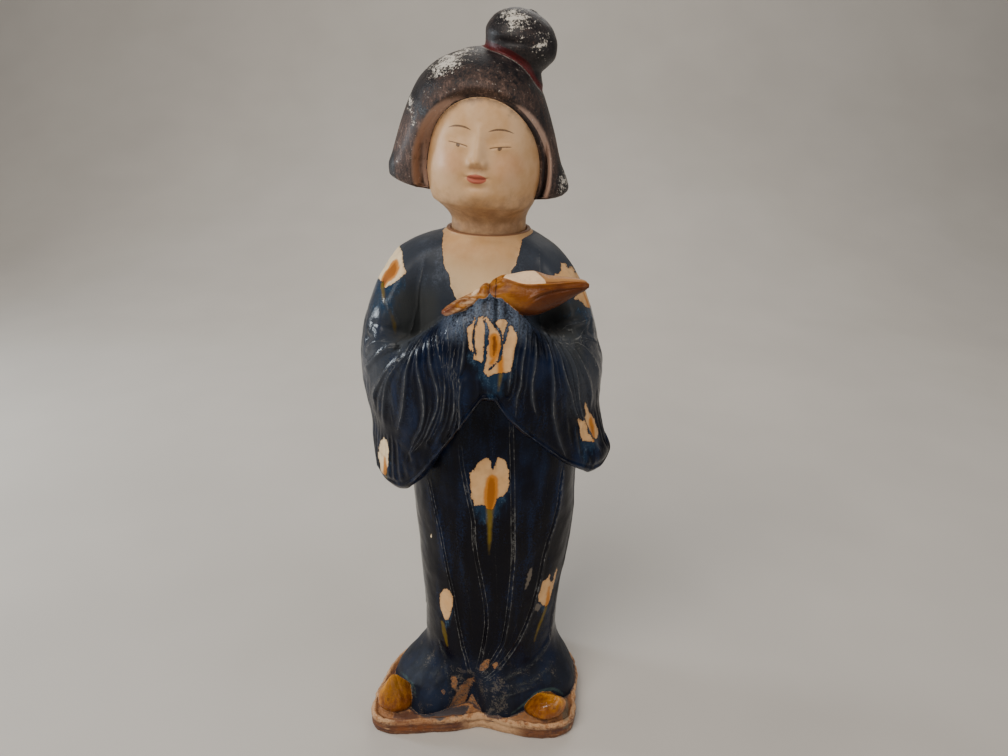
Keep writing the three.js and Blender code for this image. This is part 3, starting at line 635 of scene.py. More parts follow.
# What each mark says on the collar's rim, where nothing is drawn.
ON_THE_RIM = {
    **dict.fromkeys(("fold", "crest_strength", "pleat_strength"), 0.0),
    **dict.fromkeys(("crest", "line", "pleat", "hem"), LINE_REACH),
    **dict.fromkeys(("hem_edge", "cream", "shed", "amber", "olive", "bare", "speckled", "scrape", "chip"),
                    -LINE_REACH),
    "border": BORDER_REACH,
    "opening": 6.0,
}


def robe_rings():
    """The robe's plain form, its narrow folds, and how far up the sleeve each point is, in mm."""
    angle = spaced(COLUMNS, ROBE_CROWDING)
    rings = [skirt(angle, t) for t in np.linspace(0, 1, SKIRT_ROWS)]
    rings += [sleeve_underside(angle, t) for t in (0.3, 0.6, 1.0)]
    below = len(rings)
    rise = np.linspace(0, 1, SLEEVE_ROWS) ** 1.25
    rings += [sleeve_face(angle, t) for t in rise]
    rings += [chest(angle, t) for t in np.linspace(0, 0.97, CHEST_ROWS)]
    narrow, border = np.zeros((2, len(rings), len(angle)))
    border += BORDER_REACH
    for row, t in enumerate(rise, below):
        narrow[row] = narrow_folds(angle, t)
        up = t * (forearm_top(angle) - hanging_edge(angle)) + BORDER_REACH * (1 - sleeve_share(angle))
        border[row] = np.minimum(BORDER_REACH, up)
    return np.array(rings) + (0, 0, PLATE_TOP), narrow, border


def narrow_folds(angle, t):
    """The many narrow folds that fall from the forearms: -1 in a valley and 1 on a crest."""
    wander = 3.0 * sind(2.3 * angle + 130 * t) + 1.6 * sind(5.1 * angle - 170 * t + 40)
    crest = 0.5 - 0.5 * cosd(360 * (angle + wander) / 5.2)
    ends = step(0.0, 0.1, t) * step(1.12, 0.98, t) * step(112, 84, np.abs(angle))
    patchy = 0.62 + 0.38 * sind(7.7 * angle + 220 * t) * sind(3.1 * angle - 100 * t)
    return (2 * crest**1.4 - 1) * ends * patchy


def collar_rings():
    """The collar's rounded rim and the socket inside it."""
    angle = spaced(COLUMNS, ROBE_CROWDING)
    profile = ((25.6, 345), (25.6, 345.8), (25.3, 346.5), (24.6, 346.8), (23.6, 346.8), (23.1, 346.4),
               (23.0, 345.6), (23.0, 336), (23.0, 326.8))
    return np.array([ring(angle, radius, z + PLATE_TOP) for radius, z in profile])


def hidden_lines():
    """The folds and pleats of the sides and back, plainer than those in front."""
    share = np.linspace(0.12, 0.8, 8)
    folds = [sleeve_face(angle, share) + (0, 0, PLATE_TOP) for angle in (-106, -118, 104, 117)]
    rise = np.linspace(0.3, 0.93, 10)
    pleats = [skirt(angle, rise) + (0, 0, PLATE_TOP) for angle in (-104, -138, -172, 152, 118, 86)]
    return folds, pleats


def robe_relief(points, narrow, border, sizes):
    """How far the robe's surface stands out of its plain form, in mm, and what the glaze follows."""
    hidden_folds, hidden_pleats = hidden_lines()
    crest, crest_strength, beyond = draw_lines(points, [*SLEEVE_FOLDS, *hidden_folds])
    crease, crease_strength, _ = draw_lines(points, ELBOW_CREASES)
    arm, arm_strength, _ = draw_lines(points, ARM_LINES + LAPEL_LINES)
    pleat, pleat_strength, _ = draw_lines(points, [*PLEATS, *hidden_pleats], taper=0.05)
    hem, hem_strength, _ = draw_lines(points, HEM_FOLDS)
    opening = np.minimum(patch(points, CHEST_OPENING), points[:, 1] + 50)
    fold = sizes.fold_height / MM
    depth = sizes.pleat_depth / MM
    gap = np.abs(crest)
    between = 1 - np.abs(1 - 4 * gap / np.maximum(gap + beyond, 1e-6))
    web = (1 - 2 * between) * step(14, 8, gap + beyond) * step(5.5, 3.5, gap)
    narrow = mix(narrow, web, step(9, 5, gap))
    drawn = crest_strength * (0.7 * bell(crest, 0, 2.3) + 0.3 * bell(crest, 0, 0.8))
    relief = fold * (drawn + 0.42 * narrow) - 1.5 * crease_strength * bell(crease, 0, 2.2)
    relief += 0.45 * arm_strength * bell(arm, 0, 1.0)
    groove = 0.6 * bell(pleat, 1.5, 0.7) - bell(pleat, 0, 0.9) + 0.35 * bell(pleat, 0, 4)
    relief += depth * pleat_strength * groove
    relief += fold * hem_strength * (1.4 * bell(hem, 0, 1.5) - 0.5 * bell(hem, 0, 5))
    relief += 0.5 * bell(border, 0.9, 1.0) - 0.6 * bell(border, 3.2, 1.2)
    relief -= 0.7 * step(-0.4, 0.5, opening)
    wander = sizes.unevenness / MM
    relief += uneven(points, 24, 0.9 * wander) + uneven(points, 7, 0.28 * wander, 3)
    marks = {
        "fold": 1.2 * drawn + narrow,
        "crest": crest,
        "crest_strength": crest_strength,
        "line": np.abs(arm) + 1.5 * (1 - arm_strength),
        "pleat": pleat,
        "pleat_strength": pleat_strength,
        "hem": np.abs(hem) + 1.5 * (1 - hem_strength),
        "border": border,
        "opening": opening,
    }
    return relief, marks


def glaze_marks(points):
    """Signed distances to the colours of the glaze, in mm: above 0 inside each one."""
    return {
        "cream": np.minimum(splashes(points), -runs(points, BLUE_LINES)),
        "shed": np.maximum(splashes(points, SHED_DROP), splashes(points, TRAIL_DROP) - TRAIL_LOSS),
        "amber": runs(points, AMBER_RUNS),
        "olive": runs(points, OLIVE_RUNS),
        "hem_edge": runs(points, HEM_EDGES),
        "bare": np.max([patch(points, corners) for corners in BARE_PATCHES], axis=0),
        "speckled": patch(points, SPECKLED_HEM),
        "scrape": np.maximum(run(points, *SCRAPE), patch(points, GREY_CHIP)),
        "chip": patch(points, WHITE_CHIP),
    }


def make_robe(sizes):
    """The robe's skin, from the hem to the neck's socket, carved and marked for its glazes."""
    plain, narrow, border = robe_rings()
    flat = plain.reshape(-1, 3)
    relief, marks = robe_relief(flat, narrow.ravel(), border.ravel(), sizes)
    marks.update(glaze_marks(flat))
    rim = collar_rings()
    carved = plain + outward(plain) * relief.reshape(*plain.shape[:2], 1)
    carved[-3:] = mix(carved[-3:], plain[-3:], np.array([0.3, 0.6, 1.0])[:, None, None])
    beyond = np.ones(rim.shape[0] * rim.shape[1])
    marks = {name: np.append(values, beyond * ON_THE_RIM[name]) for name, values in marks.items()}
    marks["rim"] = np.append(np.zeros(len(flat)), beyond)
    return closed_skin("robe", np.concatenate([carved, rim]), marks)


# Stains on the foot plate, as seen from above: (x, y) corners.
PLATE_STAINS = {
    "grey": ((-45, -47), (-33, -45), (-24, -40), (-9.5, -38), (-10.5, -47.5), (-22, -50.5), (-32, -53),
             (-42, -52)),
    "purple": ((-68, -47), (-47, -45), (-45.5, -53), (-61, -55.5)),
    "amber": ((-66, -54), (-50, -53), (-35, -51.5), (-34, -56), (-57, -62)),
    "drip": ((58.5, -28), (64, -30), (63, -50), (59, -52)),
}

# The plate's edge, from below, round to its top: (how far in, height) in mm.
PLATE_PROFILE = ((14, 0), (3.2, 0), (1.4, 0.5), (0.6, 1.8), (0.4, 4), (0.9, 6.2), (1.5, 7.2), (0.9, 8.2),
                 (0.2, 9.6), (0.0, 11.2), (0.4, 12.3), (1.4, 12.95), (2.8, 13), (4.5, 12.7), (7, 12.6),
                 (11, 12.8), (16, 13), (24, 13.2), (34, 13.2))
PLATE_COLUMNS, PLATE_CROWDING, EDGE_ROWS = 240, 0.3, 30
STAIN_DEPTH = 99  # mm; the stains reach right through the plate's top


def make_plate():
    """The foot plate: a hand-cut slab with a layered, chipped edge."""
    angle = spaced(PLATE_COLUMNS, PLATE_CROWDING)
    left = 27 * bell(angle, -54, 25) + 7 * bell(angle, -48, 11) + 6 * bell(angle, -92, 16)
    swell = left + 19 * bell(angle, 39, 20) - 5 * bell(angle, 0, 12)
    reach = push(TRUNK.at(angle, 0.0), swell + 9)
    inset_at, height_at = (curve(*enumerate(column)) for column in zip(*PLATE_PROFILE))
    rings, insets = [], []
    for span in np.concatenate([np.arange(0, 9), np.linspace(9, len(PLATE_PROFILE) - 1, EDGE_ROWS)]):
        inset, z = inset_at(span), height_at(span)
        insets.append(inset + 0 * angle)
        spot = raised(reach, z)
        rough = uneven(spot, 16, 1.2, 1) + uneven(spot, 4.5, 0.9, 2) if inset < 12 else 0 * angle
        worn = np.maximum(0, uneven(spot, 8, 3.4, 5) - 0.5) * bell(z, 12, 3.0)
        xy = push(reach, -inset - np.abs(rough) - worn)
        spot = raised(xy, 0.0)
        lift = uneven(spot, 14, 0.9, 4) + 0.8 * bell(inset, 2.4, 1.3) - 0.9 * bell(inset, 5, 1.5)
        lift += np.maximum(0, uneven(spot, 4, 1.2, 9)) * bell(inset, 2.5, 2.5)
        rings.append(raised(xy, z + lift * step(4, 12, z)))
    rings = np.array(rings)
    hem = push(TRUNK.at(angle, 1.0), hem_spread(angle))
    gap = [np.linalg.norm(hem[:, None] - row[None, :, :2], axis=-1).min(0) for row in rings]
    above = rings.reshape(-1, 3)[:, [0, 2, 1]]
    marks = {name: patch(above, corners, STAIN_DEPTH) for name, corners in PLATE_STAINS.items()}
    return closed_skin("plate", rings, {"hem_gap": gap, "inset": insets, **marks})


# Each toe's place, turn, length, width, height, how much it narrows upwards and how far it leans.
SHOES = {
    "left_shoe": ((-62.5, -38.5), -47, 25, 17, 31, 0.66, 0.04),
    "right_shoe": ((46.5, -42), 48, 29, 22, 22, 0.55, 0.34),
}
SHOE_COLUMNS, SHOE_ROWS = 72, 44
SHOE_SEAT = 0.34  # the share of a toe's height at which its middle stands above the plate


def make_shoe(name, place, turn, length, width, height, taper, lean):
    """An upturned toe, drawn in towards a crest along its top."""
    around = whole_turn(SHOE_COLUMNS)
    rings = []
    for along in np.linspace(3, 177, SHOE_ROWS):
        ahead = -math.cos(math.radians(along))
        blunt = math.sin(math.radians(along)) ** (0.95 - 0.35 * ahead)
        upturn = max(0.0, 0.25 * ahead)
        crest = 1 + 0.16 * bell(around, 0, 18) + 0.16 * bell(around, 360, 18)
        rise = blunt * cosd(around)
        aside = -0.5 * width * blunt * sind(around) * (1 - taper * rise)
        up = height * (0.5 * rise * crest + upturn)
        forward = -0.5 * length * ahead * (1 - taper * rise) - lean * height * rise
        rings.append(np.stack([aside, forward, up], -1))
    rings = np.array(rings)
    toe = -rings[..., 1]
    rings = rings @ np.array(rotation(turn, "Z")).T + (*place, SHOE_SEAT * height + PLATE_TOP)
    rings += outward(rings) * uneven(rings.reshape(-1, 3), 8, 0.5, 6).reshape(*rings.shape[:2], 1)
    turned = signed(around) + np.zeros(toe.shape)
    # ridge marks the crest for its painted highlight, and shade the side painted darker
    marks = {"toe": toe, "ridge": turned * 0.3, "shade": -turned * math.copysign(0.3, place[0])}
    return closed_skin(name, rings, marks)


# The bundle's middle, depth and thickness by the place along it, and the angles of its lip, of its
# filling's rear edge and of the flap below.
BUNDLE_ENDS, BUNDLE_COLUMNS, BUNDLE_ROWS = (-24, 55), 108, 116
bundle_rise = curve((-24, 315.5), (-16, 318), (-8, 320.5), (-3, 322.5), (6, 322.5), (20, 320.5), (36, 323),
                    (54.5, 328))
bundle_depth = curve((-24, -73), (-12, -68), (-3, -62), (14, -56), (36, -56), (55, -59))
bundle_thick = curve((-24, 1.0), (-22, 2.4), (-18, 3.3), (-8, 4.3), (-3, 5), (3, 7.4), (14, 10.6), (26, 11),
                     (36, 9), (48, 4.8), (53, 2.8), (55, 1.2))
lip_angle = curve((3, 8), (6, 16), (13, 33), (24, 41), (34, 43), (45, 40), (56, 38))
filling_end = curve((6, 30), (10, -10), (14, -50), (19, -55), (24, -15), (29, 14), (34, 46))
flap_angle = curve((20, 92), (24, 76), (28, 67), (37, 62), (46, 70), (56, 88))


def make_bundle():
    """The wrapped bundle: tail, tied neck, full body with a lip and filling, and pointed end."""
    around = whole_turn(BUNDLE_COLUMNS)
    turned = signed(around, 210)
    rings, filling, under, lips = [], [], [], []
    for x in mix(*BUNDLE_ENDS, np.linspace(0, 1, BUNDLE_ROWS)):
        body = step(3, 9, x)
        lip = turned - lip_angle(x)
        flap = turned - flap_angle(x)
        edge = (0.13 * bell(lip, 4, 5) - 0.13 * bell(lip, -7, 5)) * body * step(56, 48, x)
        mound = 0.25 * bell(turned, lip_angle(x) - 48, 21) * step(10, 21, x) * step(34, 23, x)
        fold = (0.12 * bell(flap, 3, 4) - 0.08 * bell(flap, 11, 5)) * step(20, 28, x) * step(56, 48, x)
        gathers = 0.07 * cosd(8 * around + 9 * x) * bell(x, 6, 4)
        gathers = gathers + 0.08 * cosd(5 * around + 14 * x) * step(-2, -8, x)
        tie = -0.16 * (bell(x, -4.6, 0.9) + bell(x, 1.0, 1.0)) + 0.12 * bell(x, -1.8, 1.4)
        radius = bundle_thick(x) * (1 + edge + mound + fold + gathers + tie)
        rings.append(np.stack([x + 0 * around, bundle_depth(x) - radius * sind(around),
                               bundle_rise(x) + radius * cosd(around)], -1))
        inside = np.minimum(-0.2 * (lip + 5), 0.2 * (turned - filling_end(x)))
        filling.append(np.maximum(inside, 1.6 - np.hypot((x + 6.5) / 1.3, (turned - 25) / 16)))
        # under: the underside below the body and below the flap, marked for painted shade
        under.append(mix((turned - 108) / 15, flap / 12, step(18, 28, x)))
        lips.append(lip * body + 90 * (1 - body))
    marks = {"filling": filling, "under": under, "lip": lips}
    return closed_skin("bundle", np.array(rings) + (0, 0, PLATE_TOP), marks)


# The neck's plug, from its rounded foot upwards: (radius, height) in mm.
NECK_PROFILE = ((21.6, 327.2), (22.2, 327.6), (22.4, 328.4), (22.4, 340), (22.4, 347), (22.4, 350),
                (22.4, 352))
# Columns round each form of the head, and how much they crowd to the front.
FACE_COLUMNS, FACE_CROWDING, HAIR_COLUMNS, HAIR_CROWDING, TOPKNOT_COLUMNS = 280, 0.6, 300, 0.2, 150
BELOW_FACE = -60.0  # mm; the height that the neck is marked with, where no features are painted


def make_face():
    """The face with its jaw, and the neck that stands in the collar, as one skin."""
    angle = spaced(FACE_COLUMNS, FACE_CROWDING)
    heights = np.concatenate([np.linspace(-31, 16, 120)[:-1], np.linspace(16, 38, 24)])
    upright = []
    for z in heights:
        xy = FACE.at(angle, z)
        xy[:, 1] -= face_relief(xy[:, 0], z) * step(75, 50, np.abs(angle))
        upright.append(raised(xy, z))
    neck = [ring(angle, radius, z + PLATE_TOP) for radius, z in NECK_PROFILE]
    jaw = settled(upright[0])
    throat = []
    for t in np.linspace(0, 1, 18)[1:-1]:
        spot = mix(neck[-1], jaw, t**1.5)
        spot[:, 2] = mix(neck[-1][:, 2], jaw[:, 2], t)
        throat.append(spot)
    below = np.full((len(neck) + len(throat), len(angle)), BELOW_FACE)
    upright = np.array(upright)
    marks = {
        "across": np.concatenate([0 * below, upright[..., 0]]),
        "above": np.concatenate([below, upright[..., 2]]),
        "ahead": np.concatenate([0 * below, step(2, -6, upright[..., 1])]),
        "knot": np.zeros((len(below) + len(upright), len(angle))),
    }
    return closed_skin("face", np.concatenate([neck, throat, settled(upright)]), marks)


def make_hair():
    """The swept bell of hair, with an opening that slopes in to the face."""
    angle = spaced(HAIR_COLUMNS, HAIR_CROWDING)
    heights = np.concatenate([[-27, -26.7, -26, -25], np.linspace(-24, 40, 92), np.linspace(40.6, 52, 26)])
    rings = []
    for z in heights:
        xy = HAIR.at(angle, z)
        inset = opening_share(xy[:, 0], z)
        wide = np.clip(np.abs(xy[:, 0]) / (FACE.reach[0](z) + 3), 0, 1)
        skin = 12 * step(0.98, 0.82, inset) - FACE.reach[2](z) * np.sqrt(1 - wide**2) ** FACE.point
        dip = step(1.08, 0.93, inset) * (xy[:, 1] < 2)
        xy[:, 1] = mix(xy[:, 1], np.maximum(skin, xy[:, 1]), dip)
        rings.append(raised(xy, z))
    rings = np.array(rings)
    x, y, z = np.moveaxis(rings, -1, 0)
    inset = opening_share(x, z)
    ahead = step(8, 0, y)
    wings = 0.72 * step(30, 4, z) * mix(step(1.42, 1.2, inset), step(1.6, 1.4, inset), x < 0)
    parting = 0.62 * step(1.5, 1.12, inset) * step(6, 26, z)
    bevel = step(1.15, 1.0, inset) * step(34, 16, z) * mix(step(0.98, 1.02, inset), 1, x < 0)
    corners = step(1.34, 1.46, inset) * step(-6, -17, z) + 0.8 * bell(x, 45, 3.5) * bell(z, -13, 8)
    arc = bell(x, -15, 6) * bell(z, 22, 7)
    along = 0.87 * (x + 21) + 0.49 * (z - 42)
    aside = -0.49 * (x + 21) + 0.87 * (z - 42)
    scuffed = np.max([1.3 - np.hypot(along / 16, aside / 6.5),
                      0.9 - np.hypot((x + 0.45 * z + 34) / 5, (z - 20) / 20),
                      0.9 - np.hypot((x - 46) / 6, (z + 16) / 9)], axis=0)
    marks = {
        "worn": np.maximum(wings, parting) * ahead - corners,
        "bevel": bevel * ahead,
        "scuffed": np.where(y < 5, scuffed, -1.0),
        # edge: near 0 along the face's rim on the right and in a short arc at the upper left, for the painted
        # shade there
        "edge": np.where(y < 2, np.abs(inset - 0.95) * 38 + 5 * step(14, 6, x) * (1 - arc), 12.0),
        "knot": 0 * z,
    }
    return closed_skin("hair", settled(rings), marks)


def make_topknot():
    """The knot of hair above its drawn-in, bound neck."""
    around = whole_turn(TOPKNOT_COLUMNS)
    turned = signed(around)
    dome = np.sin(np.linspace(0, np.pi / 2, 18)[1:])
    heights = np.concatenate([np.linspace(-6, 30, 60), TOPKNOT_TOP - 4.8 * (1 - dome)])
    rings, patches = [], []
    for z in heights:
        crease = 1.5 * bell(turned, -10, 34) * bell(z, 16 + 0.1 * (turned + 10), 2.0)
        flare = 5.5 * bell(turned, -90, 50) * bell(z, -1, 7)
        reach = topknot_reach(z) * step(36.2, 33.0, z) ** 0.5 - crease + flare
        x, y = reach * sind(around), -0.92 * reach * cosd(around)
        rings.append(np.stack([x, y, z + 0 * around], -1))
        left = 1.2 - np.hypot((x + 7) / 12, (z - 27) / 8)
        right = 1.0 - np.hypot((x - 12) / 6, (z - 21) / 9)
        patches.append(np.where(y < 6, np.maximum(left, right), -1.0))
    rings = settled(np.array(rings) @ np.array(rotation(TOPKNOT_TILT, "Y")).T + TOPKNOT_FOOT)
    plain = np.zeros(rings.shape[:2])
    marks = {"worn": plain + 0.1, "bevel": plain, "scuffed": patches, "edge": plain + 12, "knot": plain + 1}
    return closed_skin("topknot", rings, marks)


class Tone:
    """A number or colour that varies over a surface, with the usual arithmetic."""

    def __init__(self, tree, socket):
        self.tree, self.socket = tree, socket

    def work(self, operation, *others):
        node = self.tree.nodes.new("ShaderNodeMath")
        node.operation = operation
        for value, socket in zip((self, *others), node.inputs):
            lead(self.tree, value, socket)
        return Tone(self.tree, node.outputs[0])

    def __rsub__(self, other):
        return (self * -1.0) + other

    __add__ = __radd__ = partialmethod(work, "ADD")
    __sub__ = partialmethod(work, "SUBTRACT")
    __mul__ = __rmul__ = partialmethod(work, "MULTIPLY")
    __pow__ = partialmethod(work, "POWER")
    __abs__ = partialmethod(work, "ABSOLUTE")
    least = partialmethod(work, "MINIMUM")
    most = partialmethod(work, "MAXIMUM")

    def between(self, low, high):
        """0 at low and 1 at high, smooth between them and level beyond. It also runs downhill."""
        node = self.tree.nodes.new("ShaderNodeMapRange")
        node.interpolation_type = "SMOOTHSTEP"
        lead(self.tree, self, node.inputs["Value"])
        ends = ((low, 0.0), (high, 1.0))
        for side, (start, value) in zip(("Min", "Max"), sorted(ends)):
            node.inputs[f"From {side}"].default_value = start
            node.inputs[f"To {side}"].default_value = value
        return Tone(self.tree, node.outputs["Result"])


def squared(tone):
    return tone * tone


def lead(tree, value, socket):
    """Leads a tone into a socket, or sets the socket to a plain value."""
    if isinstance(value, Tone):
        tree.links.new(value.socket, socket)
    elif socket.type == "RGBA":
        socket.default_value = (*value[:3], 1.0)
    else:
        socket.default_value = value


class Finish:
    """A material in the making: its surface marks, patterns and colours."""

    def __init__(self, name, colours):
        self.material = bpy.data.materials.new(name)
        self.material.use_nodes = True
        self.tree = self.material.node_tree
        self.shader = self.tree.nodes["Principled BSDF"]
        self.place = self.tree.nodes.new("ShaderNodeTexCoord").outputs["Object"]
        self.colours = colours

    def mark(self, name):
        """A mark that the mesh carries at its points."""
        node = self.tree.nodes.new("ShaderNodeAttribute")
        node.attribute_name = name
        return Tone(self.tree, node.outputs["Fac"])

    def axis(self, name):
        """The place along an axis, in mm."""
        node = self.tree.nodes.new("ShaderNodeSeparateXYZ")
        self.tree.links.new(self.place, node.inputs[0])
        return Tone(self.tree, node.outputs[name]) * (1 / MM)

    def mottle(self, size, detail=3.0, roughness=0.55, stretch=(1, 1, 1), shift=0.0, distortion=0.0):
        """Cloudy noise about 0, with blotches of a size in mm."""
        mapping = self.tree.nodes.new("ShaderNodeMapping")
        mapping.inputs["Scale"].default_value = [1 / MM / size / s for s in stretch]
        mapping.inputs["Location"].default_value = (shift, 2.1 * shift, 3.7 * shift)
        cloud = self.tree.nodes.new("ShaderNodeTexNoise")
        settings = {"Scale": 1.0, "Detail": detail, "Roughness": roughness, "Distortion": distortion}
        for name, value in settings.items():
            cloud.inputs[name].default_value = value
        self.tree.links.new(self.place, mapping.inputs["Vector"])
        self.tree.links.new(mapping.outputs["Vector"], cloud.inputs["Vector"])
        return Tone(self.tree, cloud.outputs["Fac"]) - 0.5

    def blend(self, share, low, high):
        """One colour turning into another as share goes from 0 to 1. A name stands for a setting's colour."""
        node = self.tree.nodes.new("ShaderNodeMix")
        node.data_type = "RGBA"
        lead(self.tree, share, node.inputs[0])
        for colour, socket in ((low, node.inputs[6]), (high, node.inputs[7])):
            lead(self.tree, getattr(self.colours, colour) if isinstance(colour, str) else colour, socket)
        return Tone(self.tree, node.outputs[2])

    def coated(self, colour, *coats):
        """A colour under coats of others, each laid over the one before by its own share."""
        for coat, share in coats:
            colour = self.blend(share, colour, coat)
        return colour

    def done(self, colour, roughness, relief=None, depth=0.1, **settings):
        """Leads colour, roughness and relief, in mm, into the shader and sets its plain values."""
        lead(self.tree, colour, self.shader.inputs["Base Color"])
        lead(self.tree, roughness, self.shader.inputs["Roughness"])
        if relief is not None:
            bump = self.tree.nodes.new("ShaderNodeBump")
            bump.inputs["Strength"].default_value = 1.0
            bump.inputs["Distance"].default_value = depth * MM
            lead(self.tree, relief, bump.inputs["Height"])
            self.tree.links.new(bump.outputs["Normal"], self.shader.inputs["Normal"])
        for name, value in settings.items():
            self.shader.inputs[name.replace("_", " ").title().replace("Ior", "IOR")].default_value = value
        return self.material


def linear(*parts):
    """A colour given as seen, in 0 to 255, for the shader."""
    return tuple(((c / 255 + 0.055) / 1.055) ** 2.4 if c > 10 else c / 255 / 12.92 for c in parts)


def cobalt_colour(finish):
    """Dark blue glaze: near black where it pooled, navy where it ran thin, brown black on the skirt. It also
    carries painted light: a grey blue reflection and pale glints on the forearms' tops, light blue glints
    specked over the blue, light grey in the crooks of the arms, and partly the slate on the sleeves' upper
    fronts.
    """
    mottle = finish.mottle
    across, depth, height = (finish.axis(name) for name in "XYZ")
    aside = abs(across)
    broad = mottle(26, 3)
    runs = mottle(8, 4, stretch=(1, 1, 3.5), shift=4)
    bands = mottle(11, 3, 0.5, stretch=(1, 1, 7), shift=44)
    grain = mottle(1.1, 3, 0.7, shift=9)
    low = height.between(225, 160) * height.between(34, 72)
    # crown: the forearms' tops in the middle, which carry a painted reflection and painted glints
    crown = height.between(308, 324) * depth.between(-42, -48) * aside.between(30, 18)
    # Painted light: the recesses in the crooks of the arms, by the bundle, are lightened to grey where they
    # lie in shade
    armpit_painted_light = height.between(286, 300) * height.between(336, 320)
    armpit_painted_light = armpit_painted_light * aside.between(26, 34) * aside.between(60, 50)
    # above: the sleeves' upper fronts, whose slate is partly the thin glaze and partly painted light
    above = height.between(232, 300) * depth.between(-68, -52) * (1 - crown)
    navy = (bands + grain * 0.7 + runs * 0.3).between(0.0, 0.26) * (1 - height.between(296, 320))
    # Painted glints: light blue specks over the blue, more on the forearms' tops and fewer on the skirt
    glint_specks = (grain + runs * 0.6 + crown * 0.22).between(0.16, 0.3) * (1 - low * 0.75)
    lapel = height.between(322, 334) * aside.between(48, 32) * (runs + grain * 0.7).between(-0.1, 0.3)
    lapel = lapel * (1 - across.between(10, 30))
    return finish.coated(
        finish.blend((broad * 2.0 + runs * 1.6 + 0.2).between(0, 1), "cobalt", "cobalt_thin"),
        ("slate", (above + grain * 0.9 + broad * 0.8).between(0.15, 0.9)),
        ("cobalt_dark", (low * 0.8 + runs * 1.4 + broad * 0.6).between(0.1, 0.95)),
        ("cobalt_thin", navy * (height.between(40, 150) * 0.5 + 0.45)),
        ("slate", (height + runs * 40).between(58, 34) * 0.25),
        ("light_cobalt_and_glints", glint_specks * 0.55),
        # Painted reflection: grey blue on the forearms' tops; on the lapels the grey blue streaks are the
        # glaze's own
        ("grey_blue_and_reflection", crown * (broad + grain * 1.2).between(-0.35, 0.2) * 0.85),
        ("grey_blue_and_reflection", lapel * 0.45),
        ("hem_grey", armpit_painted_light * depth.between(-62, -50) * 0.85),
        # Painted glints: pale specks on the forearms' tops
        ("cobalt_pale_and_glints", (grain + runs * 0.5).between(0.06, 0.2) * crown * 0.7),
    )


def clay_colour(finish):
    """Pinkish buff clay with dark stains and a paler dusting."""
    stain = (finish.mottle(13, 5, 0.65, shift=30) + finish.mottle(3, 4, shift=31) * 0.4).between(-0.02, 0.22)
    dust = finish.mottle(6, 5, 0.7, shift=33).between(0.0, 0.25)
    return finish.coated("clay", ("clay_pale", dust * 0.7), ("clay_stain", stain * 0.75))


def worn_glaze(finish, wander, fine):
    """How thin the robe's glaze has worn on crests, seams, pleats and the folds over the feet."""
    mottle, mark = finish.mottle, finish.mark
    crest = (abs(mark("crest")) + fine * 0.5 + wander * 0.35).between(0.38, 0.1)
    crest = crest * mark("crest_strength").between(0.0, 0.5)
    border = abs(mark("border") - 0.8 + wander * 0.6).between(0.26, 0.05)
    line = (mark("line") + wander * 0.7).between(0.5, 0.15)
    pleat = abs(mark("pleat"))
    ridge = (abs(pleat - 1.3) + wander * 0.7).between(0.36, 0.08)
    ridge = ridge * mark("pleat_strength").between(0.0, 0.4)
    patchy = mottle(14, 2, shift=19)
    strip = (pleat + fine * 2 + wander * 2).between(1.5, 0.7) * (patchy + wander * 0.3).between(0.06, 0.16)
    hem = (mark("hem") + wander * 1.2).between(0.7, 0.1)
    broken = (mottle(2.6, 4, shift=12) + patchy * 0.7).between(-0.1, 0.18)
    worn = (crest * 0.62).most(border * 0.6).most(line * 0.4).most(ridge * 0.65).most(hem * 0.5)
    return (worn * (broken * 0.85 + 0.15)).most(strip * fine.between(-0.1, 0.15) * 0.6)


